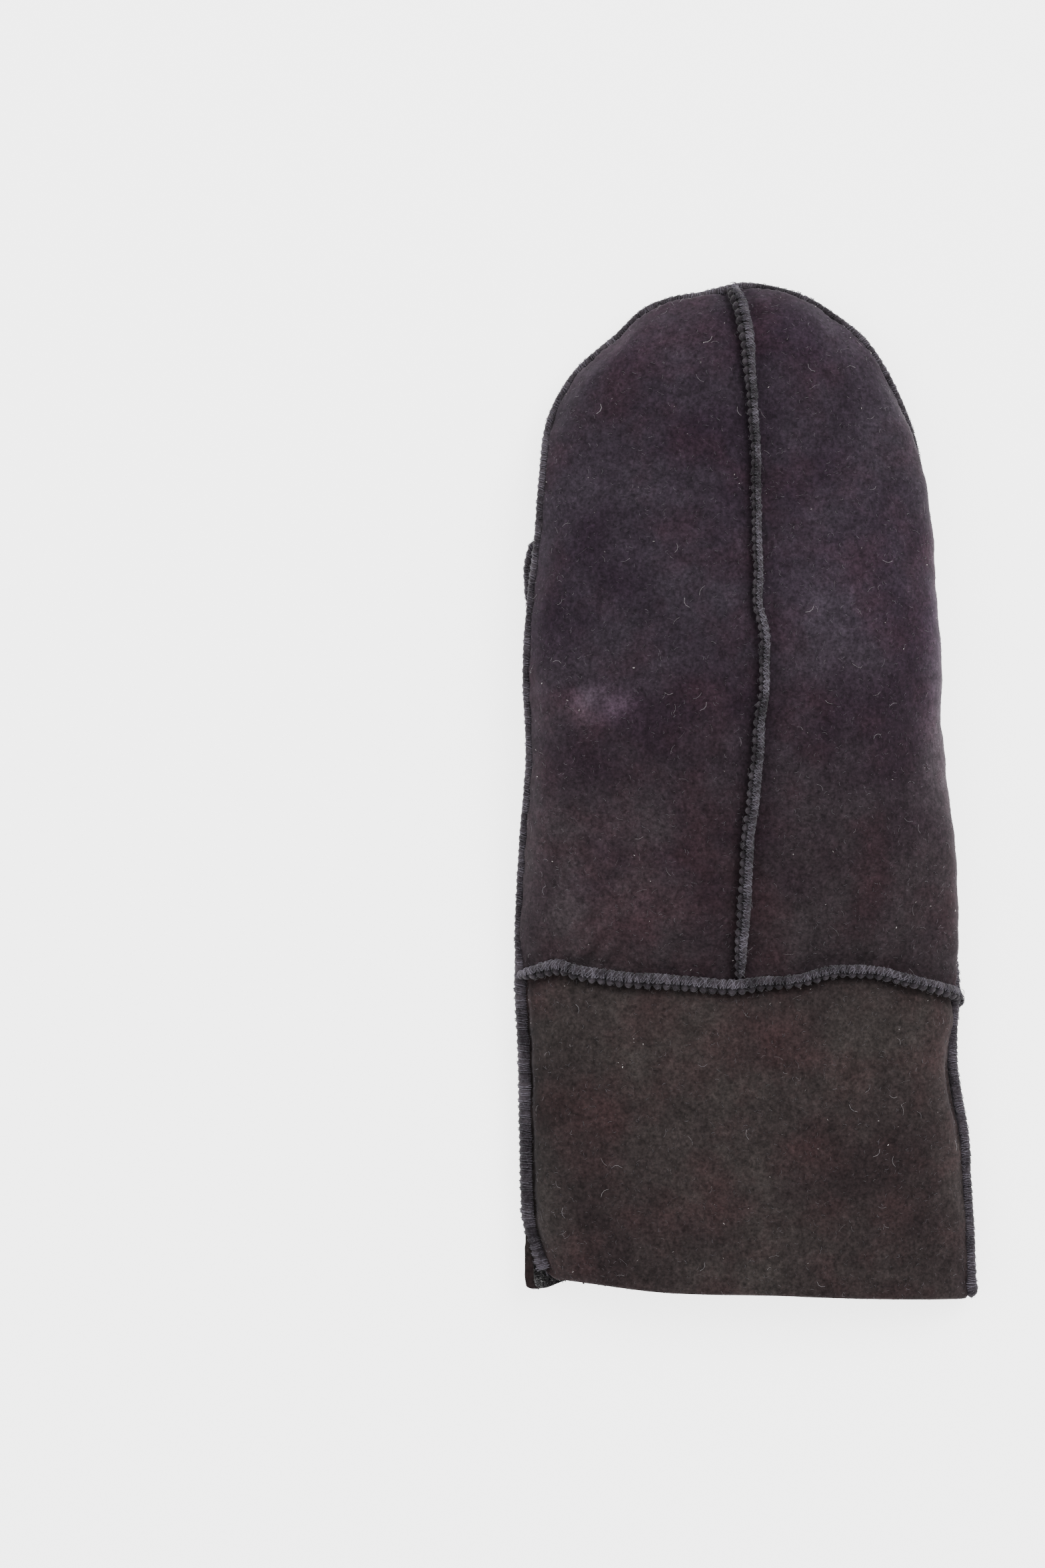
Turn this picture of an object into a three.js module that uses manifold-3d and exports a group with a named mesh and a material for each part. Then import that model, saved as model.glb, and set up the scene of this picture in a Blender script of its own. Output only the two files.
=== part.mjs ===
import * as THREE from 'three';
import { mergeVertices } from 'three/addons/utils/BufferGeometryUtils.js';
import Module from 'manifold-3d';

// A right-hand sheepskin mitten lying on its palm, in millimetres. +Z is up, +Y points to the
// fingertips and the thumb lies folded flat under the palm, on the -X side. Every sheepskin panel is
// a wall of its own. The panels meet edge to edge, and an overcast ridge runs along each joint.

// Overall sizes
const mittenLength = 302;
const cuffLength = 94.6;
const handWidth = 131;
const handThickness = 30;
const edgeHeight = 10;
const wall = 2.4;
const gap = 0.3;
const ridgeSeat = 0.15;

// The round end over the fingertips
const tipDepth = 22;
const tipRounding = 34;

// The overcast ridges
const centreSeamWidth = 4;
const centreSeamHeight = 3.2;
const wristSeamWidth = 3.8;
const wristSeamHeight = 3;
const edgeSeamWidth = 3.6;
const edgeSeamHeight = 3;
const thumbSeamWidth = 3;
const thumbSeamHeight = 2.6;

// The thumb, measured from the middle of the hole that it is sewn into
const thumbLength = 108;
const thumbWidth = 44;
const thumbHeight = 12;
const thumbHoleLength = 40;
const thumbHoleAboveWrist = 37;
const thumbHoleFromEdge = 33;
const thumbTiltDegrees = 4;
const thumbTipRounding = 22;

// How far a wall takes to come down from what it lies over to the surface beneath
const thumbRamp = 15;
const seamRamp = 10;

const halfWidth = handWidth / 2;

// Sections up the mitten. along: share of the length from hem to tip. left, right: where the edges
// are, in half hand widths. crest: height of the back, in hand thicknesses, lift: what the thumb
// below adds to it, in thumb heights. leftEdge, rightUp: height of the edge joint above what is
// under it, in edge heights. tuck: how far the back turns under at the right, in quarter turns.
const sections = [
  { along: 0, left: -0.9, right: 1.058, crest: 0.73, lift: 0, leftUp: 0.9, rightUp: 0.9, tuck: 0 },
  { along: 0.094, left: -0.928, right: 1.029, crest: 0.84, lift: 0, leftUp: 0.95, rightUp: 1, tuck: 0 },
  { along: 0.174, left: -0.937, right: 0.998, crest: 0.9, lift: 0, leftUp: 1, rightUp: 1, tuck: 0 },
  { along: 0.238, left: -0.942, right: 0.963, crest: 0.92, lift: 0, leftUp: 1, rightUp: 1, tuck: 0 },
  { along: 0.313, left: -0.959, right: 0.995, crest: 0.93, lift: 0.02, leftUp: 1, rightUp: 1, tuck: 0.02 },
  { along: 0.372, left: -0.959, right: 1.003, crest: 1, lift: 0.18, leftUp: 0.9, rightUp: 1, tuck: 0.07 },
  { along: 0.452, left: -0.94, right: 0.979, crest: 1.02, lift: 0.5, leftUp: 0.65, rightUp: 1, tuck: 0.09 },
  { along: 0.531, left: -0.912, right: 0.942, crest: 1.02, lift: 0.72, leftUp: 0.6, rightUp: 1, tuck: 0.09 },
  { along: 0.611, left: -0.917, right: 0.933, crest: 1, lift: 0.8, leftUp: 0.6, rightUp: 1, tuck: 0.09 },
  { along: 0.69, left: -0.904, right: 0.902, crest: 0.98, lift: 0.75, leftUp: 0.6, rightUp: 1, tuck: 0.09 },
  { along: 0.75, left: -0.873, right: 0.893, crest: 0.96, lift: 0.6, leftUp: 0.65, rightUp: 1, tuck: 0.08 },
  { along: 0.809, left: -0.852, right: 0.85, crest: 0.93, lift: 0.32, leftUp: 0.8, rightUp: 1, tuck: 0.06 },
  { along: 0.869, left: -0.815, right: 0.785, crest: 0.9, lift: 0.1, leftUp: 0.9, rightUp: 0.95, tuck: 0.03 },
  { along: 0.903, left: -0.725, right: 0.704, crest: 0.88, lift: 0, leftUp: 0.9, rightUp: 0.9, tuck: 0 },
  { along: 0.934, left: -0.598, right: 0.6, crest: 0.86, lift: 0, leftUp: 0.85, rightUp: 0.85, tuck: 0 },
];

// The round end between its two shoulders. across: share of the way from the left shoulder to the
// right one. rise: height above the straight line between them, in tip depths.
const tipRows = [
  { across: 0.000, rise: 0.00 },
  { across: 0.104, rise: 0.36 },
  { across: 0.204, rise: 0.71 },
  { across: 0.302, rise: 0.85 },
  { across: 0.403, rise: 0.90 },
  { across: 0.510, rise: 0.98 },
  { across: 0.556, rise: 1.00 },
  { across: 0.653, rise: 0.93 },
  { across: 0.755, rise: 0.79 },
  { across: 0.853, rise: 0.52 },
  { across: 0.954, rise: 0.21 },
  { across: 1.000, rise: 0.00 },
];
const leftShoulderDrop = 1.08;
const rightShoulderDrop = 0.94;

// The joint across the wrist. rise: in cuff lengths above the hem line, on the back and on the palm.
const wristRows = [
  { across: 0.000, back: 1.040, palm: 1.040 },
  { across: 0.083, back: 1.060, palm: 1.034 },
  { across: 0.133, back: 1.040, palm: 1.030 },
  { across: 0.240, back: 1.013, palm: 1.021 },
  { across: 0.382, back: 1.000, palm: 1.010 },
  { across: 0.489, back: 0.990, palm: 1.002 },
  { across: 0.561, back: 1.000, palm: 0.996 },
  { across: 0.669, back: 1.019, palm: 0.988 },
  { across: 0.740, back: 1.041, palm: 0.982 },
  { across: 0.798, back: 1.038, palm: 0.978 },
  { across: 0.884, back: 1.013, palm: 0.971 },
  { across: 0.976, back: 0.975, palm: 0.964 },
  { across: 1.000, back: 0.962, palm: 0.962 },
];

// The cut hem. rise: in cuff lengths.
const hemRows = [
  { across: 0.00, rise: 0.058 },
  { across: 0.08, rise: 0.054 },
  { across: 0.31, rise: 0.020 },
  { across: 0.60, rise: 0.013 },
  { across: 0.95, rise: 0.002 },
  { across: 1.00, rise: 0.000 },
];

// The joint down the middle of the back. along: share of the length from hem to tip. aside: in half
// hand widths.
const centreRows = [
  { along: 0.310, aside: 0.027 },
  { along: 0.372, aside: 0.037 },
  { along: 0.432, aside: 0.055 },
  { along: 0.477, aside: 0.070 },
  { along: 0.523, aside: 0.092 },
  { along: 0.568, aside: 0.113 },
  { along: 0.599, aside: 0.128 },
  { along: 0.660, aside: 0.127 },
  { along: 0.690, aside: 0.107 },
  { along: 0.751, aside: 0.101 },
  { along: 0.842, aside: 0.098 },
  { along: 0.903, aside: 0.079 },
  { along: 0.973, aside: 0.045 },
  { along: 1.000, aside: 0.000 },
];

// Dents and swells of the back. across, along: the middle, as shares of the outline and of the
// length. wide, long: the reach, in half hand widths and in lengths. depth: in hand thicknesses, a
// dent where it is above nought and a swell where it is below.
const dents = [
  { across: 0.21, along: 0.352, wide: 0.10, long: 0.045, depth: 0.050 },
  { across: 0.33, along: 0.360, wide: 0.09, long: 0.050, depth: -0.035 },
  { across: 0.36, along: 0.330, wide: 0.14, long: 0.030, depth: 0.045 },
  { across: 0.22, along: 0.620, wide: 0.30, long: 0.060, depth: 0.040 },
  { across: 0.80, along: 0.500, wide: 0.22, long: 0.100, depth: -0.030 },
  { across: 0.74, along: 0.345, wide: 0.20, long: 0.035, depth: 0.040 },
  { across: 0.20, along: 0.190, wide: 0.26, long: 0.060, depth: 0.045 },
  { across: 0.55, along: 0.120, wide: 0.34, long: 0.050, depth: 0.040 },
  { across: 0.78, along: 0.215, wide: 0.24, long: 0.050, depth: 0.050 },
  { across: 0.50, along: 0.240, wide: 0.30, long: 0.030, depth: -0.030 },
];

// Half widths of the thumb. along: share of its length from the hole. width: in half thumb widths.
const thumbRows = [
  { along: -0.20, width: 0.92 },
  { along: 0.00, width: 0.92 },
  { along: 0.30, width: 0.95 },
  { along: 0.60, width: 1.00 },
  { along: 1.00, width: 0.98 },
];

// The tuck at which the ridge along the edge leans and droops by its full amount
const fullTuck = 0.09;

// How full a section is. Higher is boxier.
const backFullness = 2.5;
const palmFullness = 6;
const palmFlattening = 4;
const thumbSideFullness = 0.85;
const thumbFlattening = 1.15;

// How far each ridge leans over, in ridge heights
const centreSeamLean = 0.35;
const wristSeamLean = 0.4;
const edgeSeamLean = 0.9;
const edgeSeamDroop = 0.35;

// Steps along and across each wall, and between sections of a ridge
const panelColumns = 10;
const wholeColumns = 18;
const handRowSteps = 13;
const tipRowSteps = 5;
const cuffRowSteps = 7;
const thumbColumns = 20;
const thumbMouthSteps = 8;
const thumbTipSteps = 5;
const ridgeStep = 5;
const ridgeArcPoints = 6;
const ringSteps = 32;
const probe = 0.01;
const centreTries = 8;

const lerp = THREE.MathUtils.lerp;
const clamp = THREE.MathUtils.clamp;

function smooth(share) {
  const part = clamp(share, 0, 1);
  return part * part * (3 - 2 * part);
}

// Reads a column of a table at a place between its rows, along a smooth curve through the rows.
function read(rows, key, place, column) {
  const last = rows.length - 1;
  if (place <= rows[0][key]) return rows[0][column];
  if (place >= rows[last][key]) return rows[last][column];
  let row = 0;
  while (rows[row + 1][key] < place) row += 1;
  const slope = (index) => {
    const before = rows[Math.max(index - 1, 0)];
    const after = rows[Math.min(index + 1, last)];
    return (after[column] - before[column]) / (after[key] - before[key]);
  };
  const step = rows[row + 1][key] - rows[row][key];
  const share = (place - rows[row][key]) / step;
  const square = share * share;
  const cube = square * share;
  return (2 * cube - 3 * square + 1) * rows[row][column]
    + (cube - 2 * square + share) * step * slope(row)
    + (3 * square - 2 * cube) * rows[row + 1][column]
    + (cube - square) * step * slope(row + 1);
}

// Reads heights between rows along straight lines.
function readStraight(rows, place) {
  const last = rows.length - 1;
  if (place <= rows[0].at) return rows[0].height;
  if (place >= rows[last].at) return rows[last].height;
  let row = 0;
  while (rows[row + 1].at < place) row += 1;
  const share = (place - rows[row].at) / (rows[row + 1].at - rows[row].at);
  return lerp(rows[row].height, rows[row + 1].height, share);
}

const section = (y, column) => read(sections, 'along', y / mittenLength, column);
const sideX = (y, side) => halfWidth * section(y, side);
const wristY = (share, face) => cuffLength * read(wristRows, 'across', share, face);
const hemY = (share) => cuffLength * read(hemRows, 'across', share, 'rise');
const centreX = (y) => halfWidth * read(centreRows, 'along', y / mittenLength, 'aside');

// The thumb's own frame: its hole is the origin and its length runs along +Y
const thumbTilt = THREE.MathUtils.degToRad(thumbTiltDegrees);
const holeY = cuffLength + thumbHoleAboveWrist;
const holeX = sideX(holeY, 'left') + thumbHoleFromEdge;
const holeHalfLength = thumbHoleLength / 2;
const holeHalfWidth = (thumbWidth / 2) * read(thumbRows, 'along', 0, 'width');

// The palm's underside over the thumb, along the thumb: over the seam round its hole it stands a
// ridge higher, and past the thumb's tip it comes down again
const overSeam = thumbSeamHeight + ridgeSeat + 5 * gap;
const thumbCover = [
  { at: -holeHalfLength - thumbSeamWidth - thumbRamp, height: 0 },
  { at: -holeHalfLength - thumbSeamWidth, height: wall + overSeam },
  { at: holeHalfLength * 0.7, height: thumbHeight + overSeam },
  { at: holeHalfLength + 2 * thumbSeamWidth, height: thumbHeight + overSeam },
  { at: holeHalfLength + 2 * thumbSeamWidth + seamRamp, height: thumbHeight + 2 * gap },
  { at: thumbLength + thumbSeamHeight + 4 * gap, height: thumbHeight + 2 * gap },
  { at: thumbLength + thumbSeamHeight + thumbRamp, height: 0 },
];

function thumbCoverAt(x, y) {
  const dx = x - holeX;
  const dy = y - holeY;
  const along = dy * Math.cos(thumbTilt) - dx * Math.sin(thumbTilt);
  const aside = Math.abs(dx * Math.cos(thumbTilt) + dy * Math.sin(thumbTilt));
  const reach = thumbWidth / 2 + thumbSeamHeight + 4 * gap;
  return readStraight(thumbCover, along) * (1 - smooth((aside - reach) / thumbRamp));
}

// The underside over the ridge at the wrist, which would otherwise stand below the palm
function wristCoverAt(x, y) {
  const left = sideX(wristY(0, 'palm'), 'left');
  const right = sideX(wristY(1, 'palm'), 'right');
  const away = Math.abs(y - wristY(clamp((x - left) / (right - left), 0, 1), 'palm'));
  const reach = wristSeamWidth / 2 + 3 * gap;
  return (wristSeamHeight + 3 * gap) * (1 - smooth((away - reach) / seamRamp));
}

const coverAt = (x, y) => Math.max(thumbCoverAt(x, y), wristCoverAt(x, y));

// Plan of a patch with four curved sides, each a function of a share from 0 to 1
function patch(left, right, low, high, across, up) {
  const point = new THREE.Vector2();
  point.addScaledVector(left(up), 1 - across).addScaledVector(right(up), across);
  point.addScaledVector(low(across), 1 - up).addScaledVector(high(across), up);
  point.addScaledVector(low(0), -(1 - across) * (1 - up)).addScaledVector(low(1), -across * (1 - up));
  point.addScaledVector(high(0), -(1 - across) * up).addScaledVector(high(1), -across * up);
  return point;
}

// A curve moved to its right-hand side, seen along it
function inset(curve, distance) {
  return (share) => {
    const before = curve(Math.max(share - probe, 0));
    const after = curve(Math.min(share + probe, 1));
    const course = after.sub(before).normalize();
    return curve(share).add(new THREE.Vector2(course.y, -course.x).multiplyScalar(distance));
  };
}

const leftShoulderY = mittenLength - tipDepth * leftShoulderDrop;
const rightShoulderY = mittenLength - tipDepth * rightShoulderDrop;

// Plan of the hand: up runs from the wrist to the tip, depth is how far inside the outer face it is
function handPlan(face, across, up, depth) {
  const wristLeft = wristY(0, face);
  const wristRight = wristY(1, face);
  const side = (low, high, name) => (share) => {
    const y = lerp(low, high, share);
    return new THREE.Vector2(sideX(y, name), y);
  };
  const tip = (share) => new THREE.Vector2(
    lerp(sideX(leftShoulderY, 'left'), sideX(rightShoulderY, 'right'), share),
    lerp(leftShoulderY, rightShoulderY, share) + tipDepth * read(tipRows, 'across', share, 'rise'),
  );
  const left = inset(side(wristLeft, leftShoulderY, 'left'), depth);
  const right = inset(side(wristRight, rightShoulderY, 'right'), -depth);
  const low = (share) => new THREE.Vector2(lerp(left(0).x, right(0).x, share), wristY(share, face));
  return patch(left, right, low, inset(tip, depth), across, up);
}

// Plan of the cuff: up runs from the hem to the wrist
function cuffPlan(face, across, up, depth) {
  const side = (name, end) => (share) => {
    const y = lerp(hemY(end), wristY(end, face), share);
    return new THREE.Vector2(sideX(y, name) + (end ? -depth : depth), y);
  };
  const left = side('left', 0);
  const right = side('right', 1);
  const low = (share) => new THREE.Vector2(lerp(left(0).x, right(0).x, share), hemY(share));
  const high = (share) => new THREE.Vector2(lerp(left(1).x, right(1).x, share), wristY(share, face));
  return patch(left, right, low, high, across, up);
}

function dentAt(across, y) {
  let depth = 0;
  for (const dent of dents) {
    const dx = (across - dent.across) * 2 / dent.wide;
    const dy = (y / mittenLength - dent.along) / dent.long;
    depth += dent.depth * handThickness * Math.exp(-dx * dx - dy * dy);
  }
  return depth;
}

// Height of the wall over a plan point. turn goes from -1 at the left edge over the crest at 0 to 1
// at the right edge, 2 in the middle of the palm and 3 at the left edge again. round is 1 on the body
// and falls to 0 at the very tip.
function heightAt(face, turn, across, point, round, depth) {
  const y = point.y;
  const leftBase = thumbCoverAt(sideX(y, 'left'), y);
  const leftEdge = leftBase + edgeHeight * section(y, 'leftUp');
  const edge = lerp(leftEdge, edgeHeight * section(y, 'rightUp'), across);
  const swing = Math.sin(turn * Math.PI / 2);
  const lift = face === 'back' ? gap / 2 : -gap / 2;
  if (Math.cos(turn * Math.PI / 2) >= 0) {
    const crest = handThickness * section(y, 'crest') + thumbHeight * section(y, 'lift');
    const full = Math.sqrt(Math.max(1 - Math.abs(swing) ** backFullness, 0)) * round;
    return edge + (crest - dentAt(across, y) - depth - edge) * full + lift;
  }
  const floor = coverAt(point.x, y) + depth;
  const full = Math.sqrt(Math.max(1 - Math.abs(swing) ** palmFullness, 0)) * round;
  return Math.max(edge - (edge - floor + palmFlattening) * full + lift, floor);
}

const acrossAt = (turn) => (Math.sin(turn * Math.PI / 2) + 1) / 2;

function roundAt(up) {
  const start = 1 - tipRounding / (leftShoulderY - wristY(0, 'back'));
  if (up <= start) return 1;
  const share = (up - start) / (1 - start);
  return Math.sqrt(Math.max(1 - share * share, 0));
}

// A point of the hand's wall, and of the cuff's
function handPoint(face, turn, up, depth) {
  const across = acrossAt(turn);
  const plan = handPlan(face, across, up, depth);
  return new THREE.Vector3(plan.x, plan.y, heightAt(face, turn, across, plan, roundAt(up), depth));
}

function cuffPoint(face, turn, up, depth) {
  const across = acrossAt(turn);
  const plan = cuffPlan(face, across, up, depth);
  return new THREE.Vector3(plan.x, plan.y, heightAt(face, turn, across, plan, 1, depth));
}

// Closes a shape made of vertices and triangles, and turns its faces outwards
function solid(vertices, triangles) {
  let volume = 0;
  for (const [a, b, c] of triangles) {
    volume += vertices[a].dot(new THREE.Vector3().crossVectors(vertices[b], vertices[c]));
  }
  const faces = volume < 0 ? triangles.map(([a, b, c]) => [a, c, b]) : triangles;
  const geometry = new THREE.BufferGeometry();
  const places = vertices.flatMap((vertex) => vertex.toArray());
  geometry.setAttribute('position', new THREE.Float32BufferAttribute(places, 3));
  geometry.setIndex(faces.flat());
  geometry.computeVertexNormals();
  return geometry;
}

// A wall between an outer and an inner grid of points with as many rows and columns
function wallBetween(outer, inner) {
  const rows = outer.length;
  const columns = outer[0].length;
  const vertices = [...outer.flat(), ...inner.flat()];
  const triangles = [];
  const outside = (row, column) => row * columns + column;
  const inside = (row, column) => rows * columns + outside(row, column);
  const quad = (a, b, c, d) => triangles.push([a, b, c], [a, c, d]);
  for (let row = 0; row < rows - 1; row += 1) {
    for (let column = 0; column < columns - 1; column += 1) {
      const [a, b] = [outside(row, column), outside(row, column + 1)];
      const [c, d] = [inside(row, column), inside(row, column + 1)];
      quad(a, b, b + columns, a + columns);
      quad(c, c + columns, d + columns, d);
    }
    quad(outside(row + 1, 0), inside(row + 1, 0), inside(row, 0), outside(row, 0));
    const end = columns - 1;
    quad(outside(row, end), inside(row, end), inside(row + 1, end), outside(row + 1, end));
  }
  for (let column = 0; column < columns - 1; column += 1) {
    const top = rows - 1;
    quad(outside(0, column), inside(0, column), inside(0, column + 1), outside(0, column + 1));
    quad(outside(top, column + 1), inside(top, column + 1), inside(top, column), outside(top, column));
  }
  return solid(vertices, triangles);
}

const steps = (count) => Array.from({ length: count + 1 }, (_, index) => index / count);

// Rows beside the wrist, where the walls come down from the ridge, as distances from it
const wristReach = wristSeamWidth / 2 + 3 * gap;
const besideWrist = [wristReach, wristReach + seamRamp / 2, wristReach + seamRamp];

// Rows up the hand, closer together at the wrist and where the tip rounds off
function handRows() {
  const length = leftShoulderY - wristY(0, 'back');
  const start = 1 - tipRounding / length;
  const low = besideWrist.map((distance) => distance / length);
  const body = steps(handRowSteps).slice(1).map((share) => lerp(low[2], start, share));
  const tip = steps(tipRowSteps).slice(1).map((share) => lerp(start, 1, Math.sin(share * Math.PI / 2)));
  return [0, ...low, ...body, ...tip];
}

// Rows up the cuff, closer together at the wrist
function cuffRows() {
  const high = besideWrist.map((distance) => 1 - distance / cuffLength).reverse();
  const body = steps(cuffRowSteps).slice(0, -1).map((share) => share * high[0]);
  return [...body, ...high, 1];
}

// Where the joint down the back lies in a row of the hand
function centreTurn(up) {
  let turn = 0;
  for (let attempt = 0; attempt < centreTries; attempt += 1) {
    const plan = handPlan('back', acrossAt(turn), up, 0);
    turn += (centreX(plan.y) - plan.x) / (halfWidth * Math.PI / 2);
  }
  return turn;
}

const tuckAt = (y) => 1 + Math.max(section(y, 'tuck'), 0);
const rowY = (face, up) => lerp(wristY(1, face), rightShoulderY, up);

// The points of a panel, row by row. The rows at the wrist keep half a gap from the joint there.
function handGrid(face, from, to, columns, depth) {
  return handRows().map((up) => steps(columns).map((share) => {
    const point = handPoint(face, lerp(from(up), to(up), share), up, depth);
    point.y += up === 0 ? gap / 2 : 0;
    return point;
  }));
}

function cuffGrid(face, from, to, columns, depth) {
  return cuffRows().map((up) => steps(columns).map((share) => {
    const point = cuffPoint(face, lerp(from(up), to(up), share), up, depth);
    point.y -= up === 1 ? gap / 2 : 0;
    return point;
  }));
}

function handPanel(face, from, to, columns) {
  return wallBetween(handGrid(face, from, to, columns, 0), handGrid(face, from, to, columns, wall));
}

function cuffPanel(face, from, to, columns) {
  return wallBetween(cuffGrid(face, from, to, columns, 0), cuffGrid(face, from, to, columns, wall));
}

const handTuck = (up) => tuckAt(rowY('back', up));
const cuffTuck = (up) => tuckAt(lerp(hemY(1), wristY(1, 'back'), up));
const halfGapTurn = gap / (2 * halfWidth * Math.PI / 2);

// A rounded ridge along a path of places, each a point with the outward direction there. lean pushes
// the crest sideways.
function ridge(places, width, height, ends = 'capped') {
  const count = places.length;
  const closed = ends === 'closed';
  const rings = places.map((place, index) => {
    const before = places[closed ? (index - 1 + count) % count : Math.max(index - 1, 0)].point;
    const after = places[closed ? (index + 1) % count : Math.min(index + 1, count - 1)].point;
    const course = after.clone().sub(before).normalize();
    const side = new THREE.Vector3().crossVectors(course, place.out).normalize();
    const out = new THREE.Vector3().crossVectors(side, course).normalize();
    return steps(ridgeArcPoints).map((share) => {
      const angle = share * Math.PI;
      const rise = height * Math.sin(angle);
      return place.point.clone()
        .addScaledVector(side, Math.cos(angle) * width / 2 + (place.lean ?? 0) * rise)
        .addScaledVector(out, gap + ridgeSeat + rise);
    });
  });
  const around = rings[0].length;
  const vertices = rings.flat();
  const triangles = [];
  const spans = closed ? count : count - 1;
  for (let index = 0; index < spans; index += 1) {
    const next = (index + 1) % count;
    for (let corner = 0; corner < around; corner += 1) {
      const beside = (corner + 1) % around;
      const [a, b] = [index * around + corner, index * around + beside];
      const [c, d] = [next * around + beside, next * around + corner];
      triangles.push([a, b, c], [a, c, d]);
    }
  }
  if (!closed) {
    const end = (count - 1) * around;
    for (let corner = 1; corner < around - 1; corner += 1) {
      triangles.push([0, corner + 1, corner], [end, end + corner, end + corner + 1]);
    }
  }
  return solid(vertices, triangles);
}

// Outward direction of a wall given as a function of turn and up
function outwardAt(pointAt, turn, up) {
  const low = Math.max(up - probe, 0);
  const high = Math.min(up + probe, 1);
  const across = pointAt(turn + probe, up).sub(pointAt(turn - probe, up));
  const along = pointAt(turn, high).sub(pointAt(turn, low));
  return across.cross(along).normalize();
}

// Evens out a path so that its places lie about a step apart
function evenPath(places, step) {
  const lengths = [0];
  for (let index = 1; index < places.length; index += 1) {
    lengths.push(lengths[index - 1] + places[index].point.distanceTo(places[index - 1].point));
  }
  const total = lengths[lengths.length - 1];
  const count = Math.max(Math.round(total / step), 2);
  return steps(count).map((share) => {
    const target = share * total;
    let index = 0;
    while (index < lengths.length - 2 && lengths[index + 1] < target) index += 1;
    const part = (target - lengths[index]) / (lengths[index + 1] - lengths[index]);
    const [from, to] = [places[index], places[index + 1]];
    return {
      point: from.point.clone().lerp(to.point, part),
      out: from.out.clone().lerp(to.out, part).normalize(),
      lean: lerp(from.lean ?? 0, to.lean ?? 0, part),
    };
  });
}

const fineSteps = 60;

// Share of the tip's rounding at which the back stands clear of the edge ridge
function clearOfEdge(rise) {
  const needed = edgeSeamWidth / 2 + edgeSeamHeight * 0.5 + 2 * gap;
  return Math.sqrt(Math.max(1 - (needed / rise) ** 2, 0));
}

function backCentreSeam() {
  const surface = (turn, up) => handPoint('back', turn, up, 0);
  const start = 1 - tipRounding / (leftShoulderY - wristY(0, 'back'));
  const tipEdge = edgeHeight * section(mittenLength, 'leftUp');
  const tipCrest = handThickness * section(mittenLength, 'crest');
  const top = lerp(start, 1, clearOfEdge(tipCrest - tipEdge));
  const clearOfWrist = wristSeamWidth / 2 + wristSeamHeight * wristSeamLean + 2 * gap;
  const bottom = clearOfWrist / (leftShoulderY - wristY(0, 'back'));
  const places = steps(fineSteps).map((share) => {
    const up = lerp(bottom, top, share);
    const turn = centreTurn(up);
    return { point: surface(turn, up), out: outwardAt(surface, turn, up), lean: -centreSeamLean };
  });
  return ridge(evenPath(places, ridgeStep), centreSeamWidth, centreSeamHeight);
}

function wristSeam(face, from, to, lean) {
  const surface = (turn, up) => handPoint(face, turn, up, 0);
  const places = steps(fineSteps).map((share) => {
    const turn = lerp(from, to, share);
    return { point: surface(turn, 0), out: outwardAt(surface, turn, 0), lean };
  });
  return ridge(evenPath(places, ridgeStep), wristSeamWidth, wristSeamHeight);
}

// The turn at which a wall at the wrist stands clear of the edge ridge, counted from the edge
function wristClearance(face) {
  const y = wristY(0, face);
  const edge = edgeHeight * section(y, 'leftUp');
  const crest = handThickness * section(y, 'crest');
  const rise = face === 'back' ? crest - edge : edge - wristSeamHeight + palmFlattening;
  const fullness = face === 'back' ? backFullness : palmFullness;
  const needed = edgeSeamWidth / 2 + 3 * gap + wristSeamHeight * (face === 'back' ? 0.5 : 0);
  const full = Math.min(needed / rise, 0.9);
  return 1 - Math.asin((1 - full * full) ** (1 / fullness)) / (Math.PI / 2);
}

// The edge all round, from the left corner of the hem over the tip to the right corner
function edgeSeam() {
  const flat = (course) => new THREE.Vector3(-course.y, course.x, 0).normalize();
  const places = [];
  const add = (point, y) => {
    places.push({ point, tuck: Math.max(section(y, 'tuck'), 0) / fullTuck });
  };
  const cuffShares = steps(fineSteps / 2);
  const handShares = steps(fineSteps).slice(1);
  for (const up of cuffShares) add(cuffPoint('back', -1, up, 0), 0);
  for (const up of handShares) add(handPoint('back', -1, up, 0), 0);
  for (const share of steps(fineSteps).slice(1)) {
    add(handPoint('back', lerp(-1, handTuck(1), share), 1, 0), mittenLength);
  }
  for (const up of [...steps(fineSteps)].reverse().slice(1)) {
    add(handPoint('back', handTuck(up), up, 0), rowY('back', up));
  }
  for (const up of [...cuffShares].reverse().slice(1)) {
    add(cuffPoint('back', cuffTuck(up), up, 0), lerp(hemY(1), wristY(1, 'back'), up));
  }
  const directed = places.map((place, index) => {
    const before = places[Math.max(index - 1, 0)].point;
    const after = places[Math.min(index + 1, places.length - 1)].point;
    const out = flat(after.clone().sub(before));
    out.z = -edgeSeamDroop * place.tuck;
    place.point.z -= gap / 2;
    return { point: place.point, out: out.normalize(), lean: edgeSeamLean * place.tuck };
  });
  return ridge(evenPath(directed, ridgeStep), edgeSeamWidth, edgeSeamHeight);
}

// The thumb, in its own frame. turn is an angle round its section from the right side over the top.
function thumbPoint(angle, length, depth) {
  const swing = Math.sin(angle);
  const shoulder = thumbLength - thumbTipRounding;
  const mouth = holeHalfLength * swing;
  const inTip = Math.max(length - 1, 0);
  const along = length <= 1
    ? lerp(mouth, shoulder, length)
    : shoulder + (thumbTipRounding - depth) * Math.sin(inTip * Math.PI / 2);
  const round = Math.cos(inTip * Math.PI / 2);
  const half = (thumbWidth / 2) * read(thumbRows, 'along', along / thumbLength, 'width') - depth;
  const side = Math.sign(Math.cos(angle)) * Math.abs(Math.cos(angle)) ** thumbSideFullness;
  const rise = clamp(thumbFlattening * swing, -1, 1);
  return new THREE.Vector3(
    half * round * side,
    along,
    thumbHeight / 2 + (thumbHeight / 2 - depth) * round * rise,
  );
}

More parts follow.
